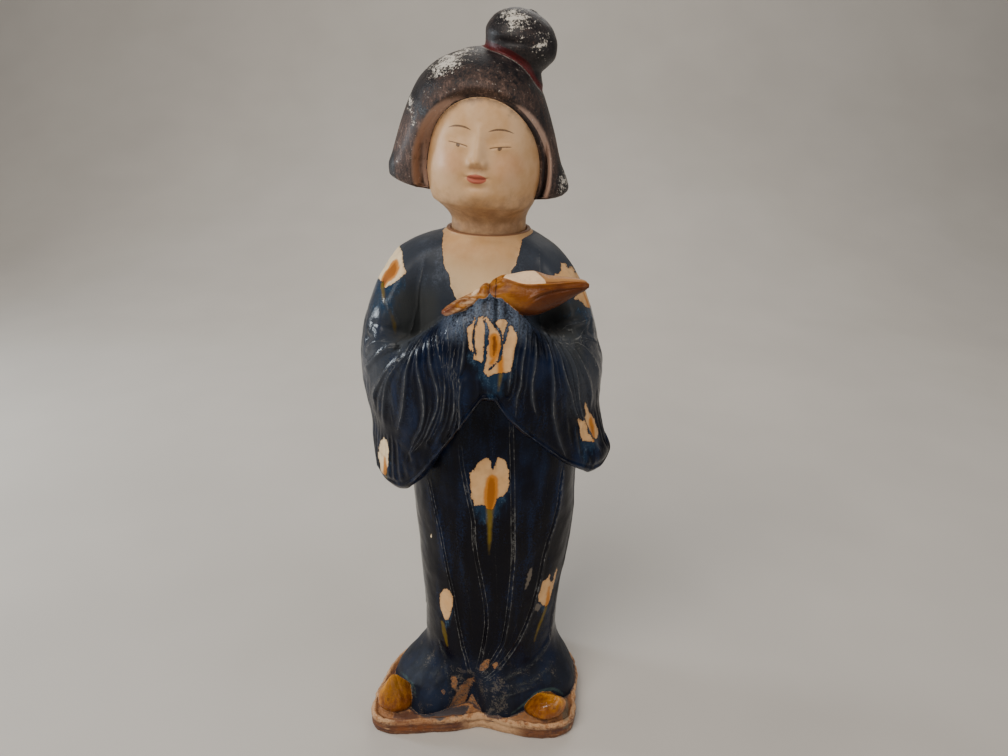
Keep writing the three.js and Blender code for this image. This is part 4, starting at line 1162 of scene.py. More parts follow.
def glazed_robe(colours):
    """The robe's glazes: cobalt with cream and amber splashes, on clay that shows where it is bare. The
    folds' lighter crests and darker valleys are partly thin and pooled glaze and partly painted light and
    shade, and the cream on the left shoulder and sleeve is brightened as painted light.
    """
    finish = Finish("cobalt_glaze", colours)
    mottle, mark = finish.mottle, finish.mark
    across, depth, height = (finish.axis(name) for name in "XYZ")
    wander = mottle(3.2, 4, shift=2)
    fine = mottle(0.9, 3, shift=6)
    streak = mottle(2.4, 4, 0.6, stretch=(1, 1, 4), shift=13)
    opening = mark("opening")
    cream_gap = mark("cream") + wander * 1.8 + fine * 1.6 + streak * 2.4
    chest_gap = opening + wander * 2.4 + fine * 0.8
    pale = cream_gap.most(chest_gap)
    amber_gap = mark("amber") + wander * 1.6
    bare_gap = mark("bare") + wander * 4.5 + fine * 1.0

    breast = opening.between(-4, -3) * height.between(354, 330)
    grime = chest_gap.between(5, 0) * mottle(6, 4, shift=18).between(-0.1, 0.3)
    thick = amber_gap + streak * 2
    core = thick.between(0.8, 1.8) * height.between(296, 304) * height.between(334, 328)
    cream = finish.coated(
        finish.blend(mottle(9, 4, shift=15).between(-0.2, 0.25), "cream", "cream_warm"),
        # Painted light: the cream on the left shoulder and sleeve, on the lit side, is brighter
        ("cream_bright", across.between(-44, -54) * 0.9),
        ("cream_bright", (breast + wander * 0.3) * 0.75),
        ("cream_grime", grime * 0.35),
        ("cream_grime", cream_gap.between(1.0, 0.1) * 0.3),
        ("amber", amber_gap.between(-1.5, 0.4) * 0.9),
        ("amber_deep", thick.between(0.6, 2.4) * 0.7),
        ("amber_burnt", core * 0.7),
    )

    clay = finish.coated(clay_colour(finish), ("scraped", (wander * 2 + fine * 2 + 0.5).between(0, 1) * 0.7))
    speckled = (mark("speckled") * 0.12 + mottle(1.6, 4, 0.7, shift=27)).between(0.12, 0.2)
    bare = bare_gap.between(-0.1, 0.4).most(speckled * 0.75).least(1 - height.between(66, 72))
    bare = bare * (1 - (fine + wander * 0.5).between(0.02, 0.14) * 0.7)

    fold = mark("fold") + wander * 0.8
    shed = (mark("shed") + streak * 12 + wander * 4).between(-2.0, 4.5)
    hem_ridge = (mark("hem") + wander * 1.6).between(2.4, 0.4)
    worn = worn_glaze(finish, wander, fine)
    outside_amber = amber_gap.between(-0.8, 1.6) * (1 - pale.between(-0.2, 0.2))
    rim = mark("rim").between(0.2, 0.8) * height.between(358.9, 359.3)
    foot = height.between(62, 40)
    middle = across.between(-30, -16) * across.between(26, 10) * foot
    worn_foot = (mottle(10, 5, 0.7, shift=29) + fine * 0.6 + middle * 0.1).between(0.1, 0.24) * foot
    colour = finish.coated(
        cobalt_colour(finish),
        # Folds: lighter on the crests and darker in the valleys, partly the glaze running thin and pooling,
        # partly painted light and painted shade
        ("slate", fold.between(0.2, 1.7) * 0.75),
        ("cobalt_deep", fold.between(-0.1, -0.9) * 0.75),
        ("light_cobalt_and_glints", shed * 0.75),
        ("cobalt_pale_and_glints", shed * (streak + fine).between(0.05, 0.3) * 0.6),
        ("hem_grey", hem_ridge * (mottle(9, 3, shift=47) + fine).between(-0.12, 0.2)),
        ("worn", worn),
        ("scraped", (mark("scrape") + wander * 3 + fine).between(-0.2, 0.6) * 0.7),
        ("cream_bright", (mark("chip") + wander * 1.5 + fine).between(-0.2, 0.4) * 0.9),
        ("olive", (mark("olive") + wander * 1.2).between(-1.0, 0.8) * 0.6),
        ("olive", outside_amber * 0.85),
        ("cobalt_deep", pale.between(-0.5, -0.15) * 0.7),
        (cream, pale.between(-0.14, 0.1)),
        (clay, bare),
        ("rim_stain", rim * 0.8),
        ("scraped", worn_foot * (1 - bare) * 0.5),
        ("hem_edge", (mark("hem_edge") + wander * 1.2 + fine * 0.5).between(-0.7, 0.5) * 0.6),
    )
    rough = mottle(5, 4, shift=21).between(-0.3, 0.4) * 0.1 + 0.16 + foot * 0.3
    above = height.between(330, 340) * (1 - pale.between(0, 0.3)) * depth.between(-46, -38)
    rough = rough + worn * 0.2 + pale.between(0, 0.3) * 0.2 + bare * 0.45 + above * 0.2
    relief = mottle(3.5, 3, shift=24) * 0.5 + fine * 0.35 - bare * 0.6 + worn * fine * 1.5
    relief = relief + mottle(8, 3, shift=31) * foot * 1.5
    return finish.done(colour, rough, relief, 0.26, specular_ior_level=0.13)


def bare_plate(colours):
    """The foot plate: stained clay, pale along its worn rim, with glaze that ran off the hem."""
    finish = Finish("bare_clay", colours)
    mottle, mark = finish.mottle, finish.mark
    wander = mottle(4, 4, shift=2)
    fine = mottle(1.2, 4, 0.7, shift=4)
    layers = mottle(2.2, 4, 0.6, stretch=(7, 7, 1), shift=6)
    height = finish.axis("Z")
    wall, top = height.between(12.4, 11.0), height.between(11.8, 12.3)
    middle = abs(finish.axis("X") + wander * 8 - 8).between(26, 12) * (wander + layers).between(-0.35, 0.1)
    inset = mark("inset") + wander * 4
    rim = inset.between(4.2, 2.6) * height.between(8, 11) * (wander + fine).between(-0.15, 0.1)
    channel = abs(inset - 5.2).between(1.6, 0.5) * top * (layers + wander).between(-0.15, 0.1)
    amber = mark("amber") + wander * 12 + layers * 6 + fine * 3
    drip = (mark("drip") + wander * 3).between(-0.6, 0.6)
    glaze = (mark("hem_gap") + wander * 5 + fine * 2).between(1.6, 0.9) * top
    colour = finish.coated(
        clay_colour(finish),
        ("clay_brown", wall * 0.8),
        ("clay_stain", wall * (layers + fine * 0.5).between(-0.02, 0.16) * 0.8),
        ("clay_pale", wall * middle * 0.75),
        ("clay_pale", wall * (layers + wander * 0.6).between(-0.08, -0.28) * 0.6),
        ("clay_pale", rim * 0.6),
        ("clay_stain", channel * 0.75),
        ("scraped", top * inset.between(5, 8) * (fine + wander * 0.6).between(-0.05, 0.25) * 0.5),
        ("slate", (mark("grey") + wander * 8 + fine * 3).between(-0.6, 1.2) * top * 0.9),
        ("clay_stain", (mark("purple") + wander * 9 + fine * 3).between(-0.8, 1.8) * top * 0.75),
        ("amber_deep", amber.between(-1.0, 2.6) * height.between(2.5, 6) * 0.55),
        ("drip", drip * 0.6),
        (cobalt_colour(finish), glaze * 0.8),
    )
    glints = (mottle(7, 3, shift=36) + fine * 0.6).between(0.1, 0.24)
    rough = 0.6 - glints * 0.4 - glaze * 0.25 - drip * 0.2
    relief = mottle(2.4, 5, 0.7, shift=38) + fine * 0.6 + layers * wall * 1.2
    return finish.done(colour, rough, relief, 0.8, coat_weight=0.1, coat_roughness=0.2,
                       specular_ior_level=0.4)


def amber_shoe(colours):
    """Amber glaze with a painted highlight along the toe's crest, a top lightened partly as thin glaze and
    partly as painted light, painted shade on one side, brown low down, and a green edge by the blue.
    """
    finish = Finish("amber_glaze", colours)
    mottle, mark = finish.mottle, finish.mark
    wander = mottle(5, 4, shift=2)
    streak = mottle(3, 4, stretch=(1, 1, 2.5), shift=5)
    fine = mottle(1.2, 4, 0.7, shift=7)
    height = finish.axis("Z")
    colour = finish.coated(
        finish.blend((streak * 2.2 + wander + 0.5).between(0, 1), "amber_deep", "amber"),
        # Lighter top: partly thin glaze, partly painted light
        ("amber_light", (height + wander * 10).between(22, 36) * 0.5),
        # Painted highlight: a golden line along the toe's crest
        ("amber_light", abs(mark("ridge") + wander * 6).between(5, 1.5) * 0.7),
        ("olive", (mark("toe") + wander * 4).between(-8.0, -11.0) * 0.6),
        ("amber_dark", (fine + wander).between(0.1, 0.3) * 0.7),
        ("amber_dark", (mark("shade") + wander * 12).between(-2, -14) * 0.4),
        ("amber_dark", (height + wander * 6).between(18.0, 14.0) * 0.8),
    )
    rough = mottle(4, 3, shift=8).between(-0.3, 0.4) * 0.15 + 0.22
    relief = mottle(2.5, 3, shift=9) + fine * 0.4
    return finish.done(colour, rough, relief, 0.5, coat_weight=0.15, coat_roughness=0.1,
                       specular_ior_level=0.25)


def wrapped_bundle(colours):
    """Streaked amber glaze, golden by the tie, with painted shade below, a painted highlight and shadow along
    the lip, and a pale filling along the top.
    """
    finish = Finish("bundle_glaze", colours)
    mottle, mark = finish.mottle, finish.mark
    along = finish.axis("X")
    wander = mottle(4, 4, shift=3)
    fine = mottle(1.0, 3, shift=6)
    streak = mottle(3.0, 5, 0.6, stretch=(5, 1, 1), shift=5)
    blotch = mottle(8, 4, shift=7)
    golden = (along + wander * 14).between(28, 4) * (streak + blotch).between(-0.2, 0.15)
    lip = mark("lip") + wander * 3
    # Painted shade: the underside and the part below the flap darken
    under = (mark("under") * 0.7 + wander * 1.8 + streak * 1.4).between(-0.5, 1.2)
    tied = along + wander * 1.4
    ties = abs(tied - 1.0).least(abs(tied - 4.4))
    # pale: filling-coloured streaks on the tail and by the tie, a painted highlight
    pale = (along + wander * 6).between(1, -5)
    pale = pale * mottle(2.2, 4, stretch=(6, 1, 1), shift=21).between(-0.05, 0.15)
    rear = (mark("lip") + wander * 4 + streak * 6).between(-7, -14) * (along + wander * 6).between(24, 32)
    filling = (mark("filling") + wander * 2.4 + fine * 1.2).between(-0.3, 0.6)
    specks = mottle(3, 4, shift=11).between(0.0, 0.4)
    colour = finish.coated(
        finish.blend((streak * 2.2 + blotch * 1.8 + 0.4).between(0, 1), "amber_brown", "amber_burnt"),
        ("golden", golden * 0.75),
        # Painted highlight along the lip, and painted shadow in the hollow beside it
        ("golden", abs(lip - 3.0).between(3.2, 0.8) * 0.6),
        ("amber_dark", abs(lip + 5.0).between(2.6, 0.8) * 0.7),
        ("amber_dark", under * 0.7),
        ("amber_dark", ties.between(0.55, 0.15) * 0.85),
        ("filling", pale * 0.5),
        ("tail", (along + wander * 8).between(-16, -23) * 0.75),
        ("golden_pale", rear * 0.55),
        (finish.blend(specks * 0.4, "filling", "cream_grime"), filling),
    )
    rough = mottle(4, 3, shift=8).between(-0.3, 0.4) * 0.15 + 0.26 + filling * 0.25
    relief = streak * 0.8 + mottle(1.2, 3, shift=14) * 0.6
    return finish.done(colour, rough, relief, 0.45, coat_weight=0.1, coat_roughness=0.15,
                       specular_ior_level=0.2)


def painted_skin(colours):
    """Cream paint with fine painted brows, eyes and lips, rubbed and a little grimy, with painted shade
    darkening the chin and neck and the forehead below the hairline.
    """
    finish = Finish("painted_skin", colours)
    mottle = finish.mottle
    across, above, ahead = (finish.mark(name) for name in ("across", "above", "ahead"))
    side = abs(across)
    waver = mottle(4, 3, shift=2)
    grain = mottle(0.6, 3, shift=3)
    stains = mottle(7, 5, 0.65, shift=6)
    # Darker towards the chin and neck: painted shade, with grime stains mottled over it
    grime = (finish.axis("Z").between(396, 368) * 0.5 + stains).between(0.1, 0.75)
    around = (across * (1 / OPENING_WIDTH)) ** 2.0 + ((above - OPENING_MIDDLE) * (1 / OPENING_HEIGHT)) ** 2.0
    # Painted shade: the forehead darkens just below the hairline, where the hair stands out over it
    hairline_shade = (around + stains * 0.5).between(0.72, 0.95) * above.between(0, 14) * ahead
    blush = (((side - 16) * 0.09) ** 2.0 + ((above + 7) * 0.1) ** 2.0).between(1.0, 0.0)

    brow_line = 11.6 - squared(side - 11.0) * 0.035 + waver * 0.2
    brow_width = side.between(4.0, 8.0) * side.between(18.5, 13) * 0.4 + 0.1
    brow = (abs(above - brow_line) - brow_width).between(0.16, -0.16)
    brow = brow * side.between(4.2, 5.2) * side.between(18.2, 17.0) * ahead
    eye = (side - 6.0) * 0.13 + 1.9 - squared(side - 11.0) * 0.012
    lid = (abs(above - eye - 0.25) - 0.26).between(0.16, -0.16)
    lid = lid * side.between(5.6, 6.4) * side.between(17.6, 16.2)
    iris = (squared(side - 11.2) + squared(above - eye + 0.35)).between(1.7, 1.0)
    iris = iris * (above - eye).between(0.5, 0.2)
    dark = (brow * 0.85).most(lid * 0.9).most(iris * 0.9) * ahead * (grain * 0.8 + 0.9)
    lips = (squared(across) * 0.035 + squared(above + 14.5) * 0.16).between(1.15, 0.85) * ahead

    colour = finish.coated(
        finish.blend(mottle(12, 4, shift=4).between(-0.2, 0.25), "skin", "skin_warm"),
        ("skin_grime_and_shade", grime * 0.75),
        ("rubbed_hair_and_hairline_shade", hairline_shade * 0.6),
        ("skin_grime_and_shade", mottle(1.5, 3, 0.6, shift=11).between(0.24, 0.3) * 0.35),
        ("blush", blush * ahead * 0.16),
        ("ink", dark),
        ("lips", lips * 0.82),
    )
    rough = mottle(5, 3, shift=8).between(-0.3, 0.4) * 0.12 + 0.45 + grime * 0.12
    relief = mottle(2.2, 4, shift=9) * 0.5 + grain * 0.3
    return finish.done(colour, rough, relief, 0.12, coat_weight=0.1, coat_roughness=0.35,
                       specular_ior_level=0.35)


def painted_hair(colours):
    """Dark paint rubbed down to buff clay on the wings, with pale scuffs and a red ribbon, and painted shade
    along the face on the right.
    """
    finish = Finish("painted_hair", colours)
    mottle, mark = finish.mottle, finish.mark
    wander = mottle(7, 5, 0.7, shift=2)
    strands = mottle(2.4, 4, 0.65, stretch=(1, 1, 4.5), shift=7)
    fine = mottle(1.1, 4, 0.7, shift=3)
    rubbed = mark("worn") + wander * 1.1 + strands * 1.2 + fine * 1.6
    soft = (mark("bevel") + wander * 0.3).between(0.3, 0.8)
    # Painted shade: a dark line where the hair meets the face, on the right and in a short arc at the upper
    # left
    edge = (mark("edge") + wander * 1.2 + fine * 0.5).between(1.5, 0.4)
    flake = mottle(3.2, 4, 0.7, stretch=(2, 2, 1), shift=15, distortion=0.6)
    scuff = (mark("scuffed") * 0.6 + flake * 1.8 + fine * 2.0).between(0.38, 0.6)
    specks = (mottle(1.7, 3, 0.7, shift=12) + wander * 0.35).between(0.15, 0.23)
    knot = mark("knot")
    band = mark("ribbon") + wander * 1.4 + fine * 0.5
    beside = band.between(-1.2, -0.4) * knot.between(0.6, 0.4)
    stain = (wander + fine).between(-0.1, 0.2).most(knot.between(0.4, 0.6) * band.between(2.4, 0.6))
    colour = finish.coated(
        finish.blend((wander * 2 + fine * 1.5 + 0.4).between(0, 1), "hair", "hair_brown"),
        ("rubbed_hair_and_hairline_shade", rubbed.between(0.15, 0.75)),
        ("hair_buff", (rubbed + strands).between(0.6, 1.2) * 0.85),
        ("hair_pink", soft * 0.85),
        ("rubbed_hair_and_hairline_shade", soft * (strands + wander).between(-0.1, -0.3) * 0.5),
        ("hair", edge * 0.8),
        ("scuff", scuff.most(specks * 0.5) * 0.9),
        ("scuff", beside * fine.between(-0.15, 0.1) * 0.4),
        ("ribbon", band.between(-0.2, 0.6) * 0.9),
        ("ribbon_dark", band.between(0, 0.5) * stain * 0.7),
    )
    rough = 0.4 + rubbed.between(0.1, 0.6) * 0.25 + scuff * 0.15 + fine * 0.15
    relief = fine * 0.8 + wander * 0.5 + strands * 0.4 - scuff * 0.5
    return finish.done(colour, rough, relief, 0.3, coat_weight=0.05, coat_roughness=0.25,
                       specular_ior_level=0.25)


def plain_floor(colours):
    """A pale matt floor."""
    finish = Finish("studio_floor", colours)
    return finish.done(finish.blend(finish.mottle(160, 2).between(-0.4, 0.4), "floor", "floor_shade"), 0.7)


def soften_seams(piece, rounds=3):
    """Rounds the joins between clay bodies, as wet clay and glaze fill them."""
    sides = {}
    for face in piece.data.polygons:
        for edge in face.edge_keys:
            sides.setdefault(edge, set()).add(face.material_index)
    seam = {corner for edge, kinds in sides.items() if len(kinds) > 1 for corner in edge}
    smooth_round(piece, seam, rounds)


def smooth_round(piece, corners, rounds):
    """Smooths the skin at some corners and their neighbours."""
    select_only(piece)
    mode("EDIT")
    bpy.ops.mesh.select_mode(type="VERT")
    bpy.ops.mesh.select_all(action="DESELECT")
    mode("OBJECT")
    for corner in corners:
        piece.data.vertices[int(corner)].select = True
    mode("EDIT")
    bpy.ops.mesh.select_more()
    bpy.ops.mesh.vertices_smooth(factor=0.5, repeat=rounds)
    bpy.ops.mesh.select_all(action="SELECT")
    bpy.ops.mesh.normals_make_consistent(inside=False)
    mode("OBJECT")


def made(name):
    """A piece that an earlier operator has made."""
    if name not in bpy.data.objects:
        raise RuntimeError(f"{name} has to be made first")
    return bpy.data.objects[name]


def colour(name, description, *seen):
    """A colour setting, whose default is given as seen, in 0 to 255."""
    return FloatVectorProperty(name=name, description=description, default=linear(*seen), subtype="COLOR",
                               min=0.0, max=1.0)


def length(name, description, millimetres):
    return FloatProperty(name=name, description=description, default=millimetres * MM, min=0.0,
                         unit="LENGTH", subtype="DISTANCE", precision=5)


def power(name, description, watts):
    return FloatProperty(name=name, description=description, default=watts, min=0.0, unit="POWER")


class CarvingSizes(PropertyGroup):
    """How deep the robe is carved."""

    fold_height: length("Fold height", "How far a sleeve fold stands out", 1.3)
    pleat_depth: length("Pleat depth", "How deep a pleat of the skirt is cut", 1.0)
    unevenness: length("Unevenness", "How much the hand-pressed clay wanders", 1.0)


class GlazeColours(PropertyGroup):
    """The colours of the glazes and of the bare clay."""

    cobalt: colour("Cobalt", "Thick blue glaze", 7, 10, 24)
    cobalt_thin: colour("Cobalt, thin", "Blue glaze where it ran thin", 20, 34, 62)
    # Cobalt, deep: pooled glaze, and partly the painted shade in the folds' valleys
    cobalt_deep: colour("Cobalt, deep", "Blue glaze pooled in the folds", 5, 6, 9)
    cobalt_dark: colour("Cobalt, burnt", "Glaze burnt brown black on the skirt", 10, 8, 15)
    # Cobalt, light: the lighter runs below the splashes, and the painted glints specked over the blue
    light_cobalt_and_glints: colour("Cobalt, light", "Lighter runs of the blue below the splashes", 28, 54, 80)
    # Cobalt, pale: the milky streaks in the runs, and painted glints on the forearms' tops
    cobalt_pale_and_glints: colour("Cobalt, pale", "Milky streaks in the blue runs", 86, 112, 134)
    # Grey blue: the painted reflection on top of the forearms, and the glaze's own streaks by the neck
    grey_blue_and_reflection: colour("Grey blue", "Thin glaze on top of the forearms and by the neck", 108, 119, 138)
    # Slate: thin glaze, and partly painted light on the folds' crests and the sleeves' upper fronts
    slate: colour("Slate", "Thin glaze on folds and shoulders", 56, 61, 70)
    # Hem, grey: thin grey glaze on the hem folds, and also the painted light in the crooks of the arms
    hem_grey: colour("Hem, grey", "Thin grey glaze on the folds over the feet", 64, 66, 66)
    hem_edge: colour("Hem, edge", "Green blue glaze along the hem over the shoes", 70, 92, 90)
    worn: colour("Worn glaze", "Crests where the glaze is thin", 126, 126, 124)
    scraped: colour("Scraped glaze", "Scrapes and chips", 120, 110, 98)
    olive: colour("Olive", "Amber over blue", 120, 98, 24)
    cream: colour("Cream", "Clear glaze over white slip", 228, 184, 132)
    cream_warm: colour("Cream, warm", "Cream where the glaze is thicker", 220, 170, 114)
    cream_grime: colour("Cream, stained", "Stained cream", 150, 112, 84)
    # Cream, bright: painted light on the cream of the left shoulder and sleeve; also the upper chest and the
    # white chip
    cream_bright: colour("Cream, bright", "Cream on the left shoulder and sleeve", 255, 232, 190)
    amber: colour("Amber", "Amber glaze", 198, 120, 24)
    amber_deep: colour("Amber, deep", "Thick amber glaze", 142, 74, 14)
    # Amber, light: thin amber, and the painted highlight on the toes' crests and tops
    amber_light: colour("Amber, light", "Thin amber glaze", 216, 150, 54)
    # Golden: thin golden amber, and the painted highlight along the bundle's lip
    golden: colour("Golden", "Thin golden amber of the bundle", 196, 128, 48)
    golden_pale: colour("Golden, pale", "Thin amber on top of the bundle", 222, 164, 102)
    amber_brown: colour("Amber, brown", "Thick brown amber of the bundle", 126, 70, 20)
    amber_burnt: colour("Amber, burnt", "Brown streaks of the bundle", 98, 50, 18)
    # Amber, dark: the ties and dark streaks, and painted shade under the bundle, beside its lip and on one
    # side of each toe
    amber_dark: colour("Amber, dark", "Red brown shadows of the amber", 70, 32, 14)
    tail: colour("Tail", "Purple brown at the bundle's tail", 104, 50, 44)
    filling: colour("Filling", "Pale filling of the bundle", 255, 218, 176)
    clay: colour("Clay", "Bare fired clay", 170, 114, 68)
    clay_pale: colour("Clay, pale", "Dusty bare clay", 228, 184, 138)
    clay_stain: colour("Clay, stained", "Dark stains on the clay", 74, 44, 42)
    clay_brown: colour("Clay, brown", "Browned clay on the plate's edge", 104, 58, 30)
    drip: colour("Drip", "Greenish grey run of glaze on the foot plate", 118, 114, 92)
    rim_stain: colour("Rim", "The thin brown line of the collar", 104, 66, 50)


class PaintColours(PropertyGroup):
    """The colours painted on the head."""

    skin: colour("Skin", "Cream ground of the face", 218, 178, 136)
    skin_warm: colour("Skin, warm", "Warmer cream", 202, 156, 106)
    # Skin, grimy: grime specks, and the painted shade on the chin and neck
    skin_grime_and_shade: colour("Skin, grimy", "Dirt on chin and neck", 130, 92, 62)
    blush: colour("Blush", "Faint pink of the cheeks", 206, 128, 104)
    ink: colour("Ink", "Brows and lids", 58, 42, 36)
    lips: colour("Lips", "Red of the lips", 168, 60, 48)
    # Hair: the dark paint, and also the painted shade along the face's right edge
    hair: colour("Hair", "Dark paint of the hair", 26, 24, 27)
    hair_brown: colour("Hair, brown", "Dark paint worn thin", 56, 50, 50)
    # Hair, rubbed: the rubbed paint of the hair, and the painted shade on the forehead below the hairline
    rubbed_hair_and_hairline_shade: colour("Hair, rubbed", "Brown grey where the paint is nearly gone", 73, 57, 51)
    hair_buff: colour("Hair, bare", "Buff clay under the paint", 120, 95, 84)
    hair_pink: colour("Hair, inside", "Pinkish buff inside the wings", 182, 150, 132)
    scuff: colour("Scuffs", "Pale scuffs", 226, 218, 206)
    ribbon: colour("Ribbon", "Dark red band of the topknot", 92, 22, 24)
    ribbon_dark: colour("Ribbon, stained", "The band's darker stains", 46, 18, 20)


class StageLook(PropertyGroup):
    """The floor and the lights."""

    floor: colour("Floor", "Pale floor", 214, 208, 200)
    floor_shade: colour("Floor, shaded", "The floor's darker clouds", 206, 200, 192)
    window: power("Window light", "Power of the small light on the left", 6.5)
    key: power("Key light", "Power of the large front light", 18.5)
    fill: power("Fill light", "Power of the light on the right", 3.0)
    back: power("Back light", "Power of the light behind", 4.0)
    wall: power("Wall light", "Power of the light on the wall", 11.0)


class Robe(Operator):
    """Model the robe with its folds, pleats and glazes"""

    bl_idname = "attendant.robe"
    bl_label = "Robe"

    def execute(self, context):
        piece = make_robe(context.scene.attendant_carving)
        give_material(piece, glazed_robe(context.scene.attendant_glazes))
        return {"FINISHED"}


class Plate(Operator):
    """Model the foot plate"""

    bl_idname = "attendant.plate"
    bl_label = "Foot plate"

    def execute(self, context):
        give_material(make_plate(), bare_plate(context.scene.attendant_glazes))
        return {"FINISHED"}


class Shoes(Operator):
    """Model the two upturned toes"""

    bl_idname = "attendant.shoes"
    bl_label = "Shoes"

    def execute(self, context):
        amber = amber_shoe(context.scene.attendant_glazes)
        for name, shape in SHOES.items():
            give_material(make_shoe(name, *shape), amber)
        return {"FINISHED"}


class Bundle(Operator):
    """Model the wrapped bundle that lies on the forearms"""

    bl_idname = "attendant.bundle"
    bl_label = "Bundle"

    def execute(self, context):
        give_material(make_bundle(), wrapped_bundle(context.scene.attendant_glazes))
        return {"FINISHED"}


class Figure(Operator):
    """Join robe, plate, shoes and bundle into one glazed body"""

    bl_idname = "attendant.figure"
    bl_label = "Join the figure"

    def execute(self, context):
        figure = joined(made("robe"), made("plate"), made("left_shoe"), made("right_shoe"), made("bundle"))
        soften_seams(figure)
        figure.name = figure.data.name = "glazed_figure"
        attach(figure, "root")
        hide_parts("robed_figure")
        return {"FINISHED"}


class Face(Operator):
    """Model the face and the neck"""

    bl_idname = "attendant.face"
    bl_label = "Face and neck"

    def execute(self, context):
        give_material(make_face(), painted_skin(context.scene.attendant_paints))
        return {"FINISHED"}


class Hair(Operator):
    """Model the swept hair and its topknot"""

    bl_idname = "attendant.hair"
    bl_label = "Hair"

    def execute(self, context):
        paint = painted_hair(context.scene.attendant_paints)
        for piece in (make_hair(), make_topknot()):
            give_material(piece, paint)
        return {"FINISHED"}


CROWN_HEIGHT = 24  # mm above the middle of the face
RIBBON_ABOVE, RIBBON_BELOW = 3.6, 1.2  # mm of ribbon on the knot and on the hair below it
CREASE_REACH = 2.2


def bind_topknot(piece):
    """Rounds the crease round the knot's foot and marks the ribbon tied there, in mm."""
    mesh = piece.data
    count = len(mesh.vertices)
    spots, knot = np.empty(3 * count), np.empty(count)
    mesh.vertices.foreach_get("co", spots)
    mesh.attributes["knot"].data.foreach_get("value", knot)
    spots = spots.reshape(-1, 3)
    crown = spots[:, 2] > (HEAD_MIDDLE[2] + CROWN_HEIGHT) * MM
    on_knot = knot > 0.5
    gap = np.full(count, 99.0)
    for kind in (on_knot, ~on_knot):
        others = np.nonzero(crown & ~kind)[0]
        tree = KDTree(len(others))
        for corner in others:
            tree.insert(spots[corner], corner)
        tree.balance()
        for corner in np.nonzero(crown & kind)[0]:
            gap[corner] = tree.find(spots[corner])[2] / MM
    ribbon = np.where(on_knot, RIBBON_ABOVE, RIBBON_BELOW) - gap
    mesh.attributes.new("ribbon", "FLOAT", "POINT").data.foreach_set("value", ribbon)
    smooth_round(piece, np.nonzero(gap < CREASE_REACH)[0], 8)


class Head(Operator):
    """Join face, neck and hair into one painted body"""

    bl_idname = "attendant.head"
    bl_label = "Join the head"

    def execute(self, context):
        head = joined(made("hair"), made("topknot"), made("face"))
        bind_topknot(head)
        soften_seams(head, 1)
        head.name = head.data.name = "painted_head"
        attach(head, "root")
        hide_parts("head")
        return {"FINISHED"}


# The stage, in metres: a floor that bends up into a wall behind the figure.
FLOOR_SIZE, FLOOR_MIDDLE, WALL_HEIGHT, BEND_REACH = 6, (0, -0.8, 0), 3, 1.4
ROOM_TINT, ROOM_STRENGTH = (0.86, 0.88, 0.9, 1.0), 0.15
# Each square light's place, what it is aimed at, its size and its tint. Its power is a setting.
LIGHTS = {
    "window": ((-1.2, 0.25, 0.42), (0, 0, 0.25), 0.22, (0.86, 0.94, 1.0)),
    "key": ((-0.55, -0.9, 1.3), (0, 0, 0.25), 1.0, (1.0, 0.94, 0.86)),
    "fill": ((0.95, -0.55, 0.65), (0, 0, 0.22), 0.9, (1.0, 0.96, 0.92)),
    "back": ((0.25, 0.9, 1.2), (0, 0, 0.3), 0.9, (1.0, 0.98, 0.95)),
    "wall": ((0, 0.5, 1.5), (0, 2.2, 0.9), 1.2, (1.0, 0.95, 0.88)),
}
# The photo's viewpoint, its pitch and roll in degrees, and its lens as pixels over the picture's width.
CAMERA_PLACE, CAMERA_PITCH, CAMERA_ROLL = (0.010, -0.4577, 0.4553), 66.9, 1.4
PHOTO_WIDTH, FOCAL_PIXELS, SENSOR_WIDTH = 1008, 757, 36.0


def select_edges(piece, wanted):
    """Selects the edges both of whose ends pass a test of their place."""
    for edge in piece.data.edges:
        edge.select = all(wanted(piece.data.vertices[corner].co) for corner in edge.vertices)


def make_floor(look):
    bpy.ops.object.select_all(action="DESELECT")
    bpy.ops.mesh.primitive_plane_add(size=FLOOR_SIZE, location=FLOOR_MIDDLE)
    floor = bpy.context.object
    floor.name = floor.data.name = "studio_floor"
    mode("EDIT")
    bpy.ops.mesh.select_mode(type="EDGE")
    bpy.ops.mesh.select_all(action="DESELECT")
    mode("OBJECT")
    select_edges(floor, lambda place: place.y > 0)
    mode("EDIT")
    bpy.ops.mesh.extrude_region_move(TRANSFORM_OT_translate={"value": (0, 0, WALL_HEIGHT)})
    mode("OBJECT")
    select_edges(floor, lambda place: place.y > 0 and place.z < 1)
    mode("EDIT")
    bpy.ops.mesh.bevel(offset=BEND_REACH, segments=32)
    bpy.ops.mesh.select_all(action="SELECT")
    mode("OBJECT")
    bpy.ops.object.transform_apply(location=True)
    bpy.ops.object.shade_smooth()
    give_material(floor, plain_floor(look))
    return floor


def add_light(name, power, place, aim, size, tint):
    bpy.ops.object.light_add(type="AREA", location=place)
    light = bpy.context.object
    light.name = name
    light.rotation_euler = (Vector(aim) - Vector(place)).to_track_quat("-Z", "Y").to_euler()
    light.data.size, light.data.energy, light.data.color = size, power, tint


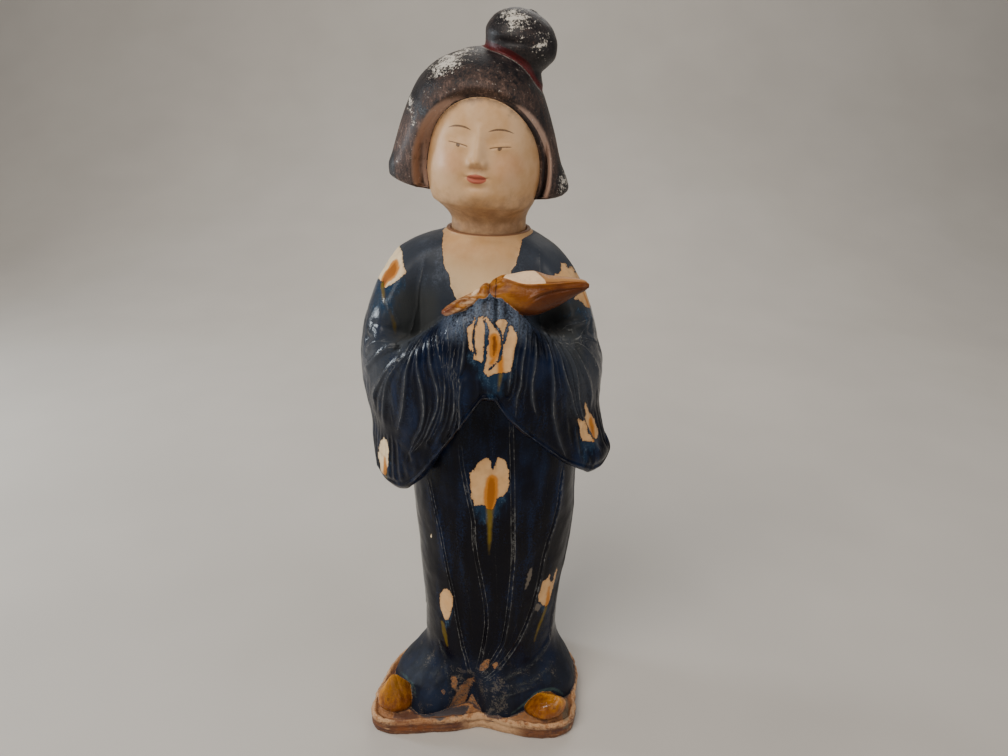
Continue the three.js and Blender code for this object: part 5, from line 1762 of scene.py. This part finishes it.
def add_camera():
    bpy.ops.object.camera_add()
    camera = bpy.context.object
    camera.name = "photo_view"
    pitch = Matrix.Rotation(math.radians(CAMERA_PITCH), 4, "X")
    roll = Matrix.Rotation(math.radians(CAMERA_ROLL), 4, "Z")
    camera.matrix_world = Matrix.Translation(CAMERA_PLACE) @ pitch @ roll
    camera.data.sensor_fit, camera.data.sensor_width = "HORIZONTAL", SENSOR_WIDTH
    camera.data.lens = SENSOR_WIDTH * FOCAL_PIXELS / PHOTO_WIDTH
    camera.data.clip_start = 0.01
    return camera


class Stage(Operator):
    """Set up the pale floor, the soft lights and the camera"""

    bl_idname = "attendant.stage"
    bl_label = "Floor, lights and camera"

    def execute(self, context):
        look = context.scene.attendant_stage
        floor = make_floor(look)
        for name, shape in LIGHTS.items():
            add_light(f"{name}_light", getattr(look, name), *shape)
        world = bpy.data.worlds.new("pale_room")
        context.scene.world = world
        world.use_nodes = True
        background = world.node_tree.nodes["Background"]
        background.inputs["Color"].default_value = ROOM_TINT
        background.inputs["Strength"].default_value = ROOM_STRENGTH
        context.scene.camera = add_camera()
        return {"FINISHED"}


class AttendantPanel(Panel):
    """The attendant's settings and operators"""

    bl_idname = "VIEW3D_PT_attendant"
    bl_label = "Attendant"
    bl_space_type = "VIEW_3D"
    bl_region_type = "UI"
    bl_category = "Attendant"

    def draw(self, context):
        for group in SETTINGS:
            box = self.layout.box()
            settings = getattr(context.scene, group)
            for name in settings.__annotations__:
                box.prop(settings, name)
        for tool in TOOLS:
            self.layout.operator(tool.bl_idname)


SETTINGS = {
    "attendant_carving": CarvingSizes,
    "attendant_glazes": GlazeColours,
    "attendant_paints": PaintColours,
    "attendant_stage": StageLook,
}
TOOLS = (Robe, Plate, Shoes, Bundle, Figure, Face, Hair, Head, Stage)


def register():
    for kind in (*SETTINGS.values(), *TOOLS, AttendantPanel):
        bpy.utils.register_class(kind)
    for name, kind in SETTINGS.items():
        setattr(bpy.types.Scene, name, PointerProperty(type=kind))


def unregister():
    for name in SETTINGS:
        delattr(bpy.types.Scene, name)
    for kind in reversed((*SETTINGS.values(), *TOOLS, AttendantPanel)):
        bpy.utils.unregister_class(kind)


def main():
    register()
    bpy.ops.attendant.robe()
    bpy.ops.attendant.plate()
    bpy.ops.attendant.shoes()
    bpy.ops.attendant.bundle()
    bpy.ops.attendant.figure()
    bpy.ops.attendant.face()
    bpy.ops.attendant.hair()
    bpy.ops.attendant.head()
    bpy.ops.attendant.stage()
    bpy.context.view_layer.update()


if __name__ == "__main__":
    main()
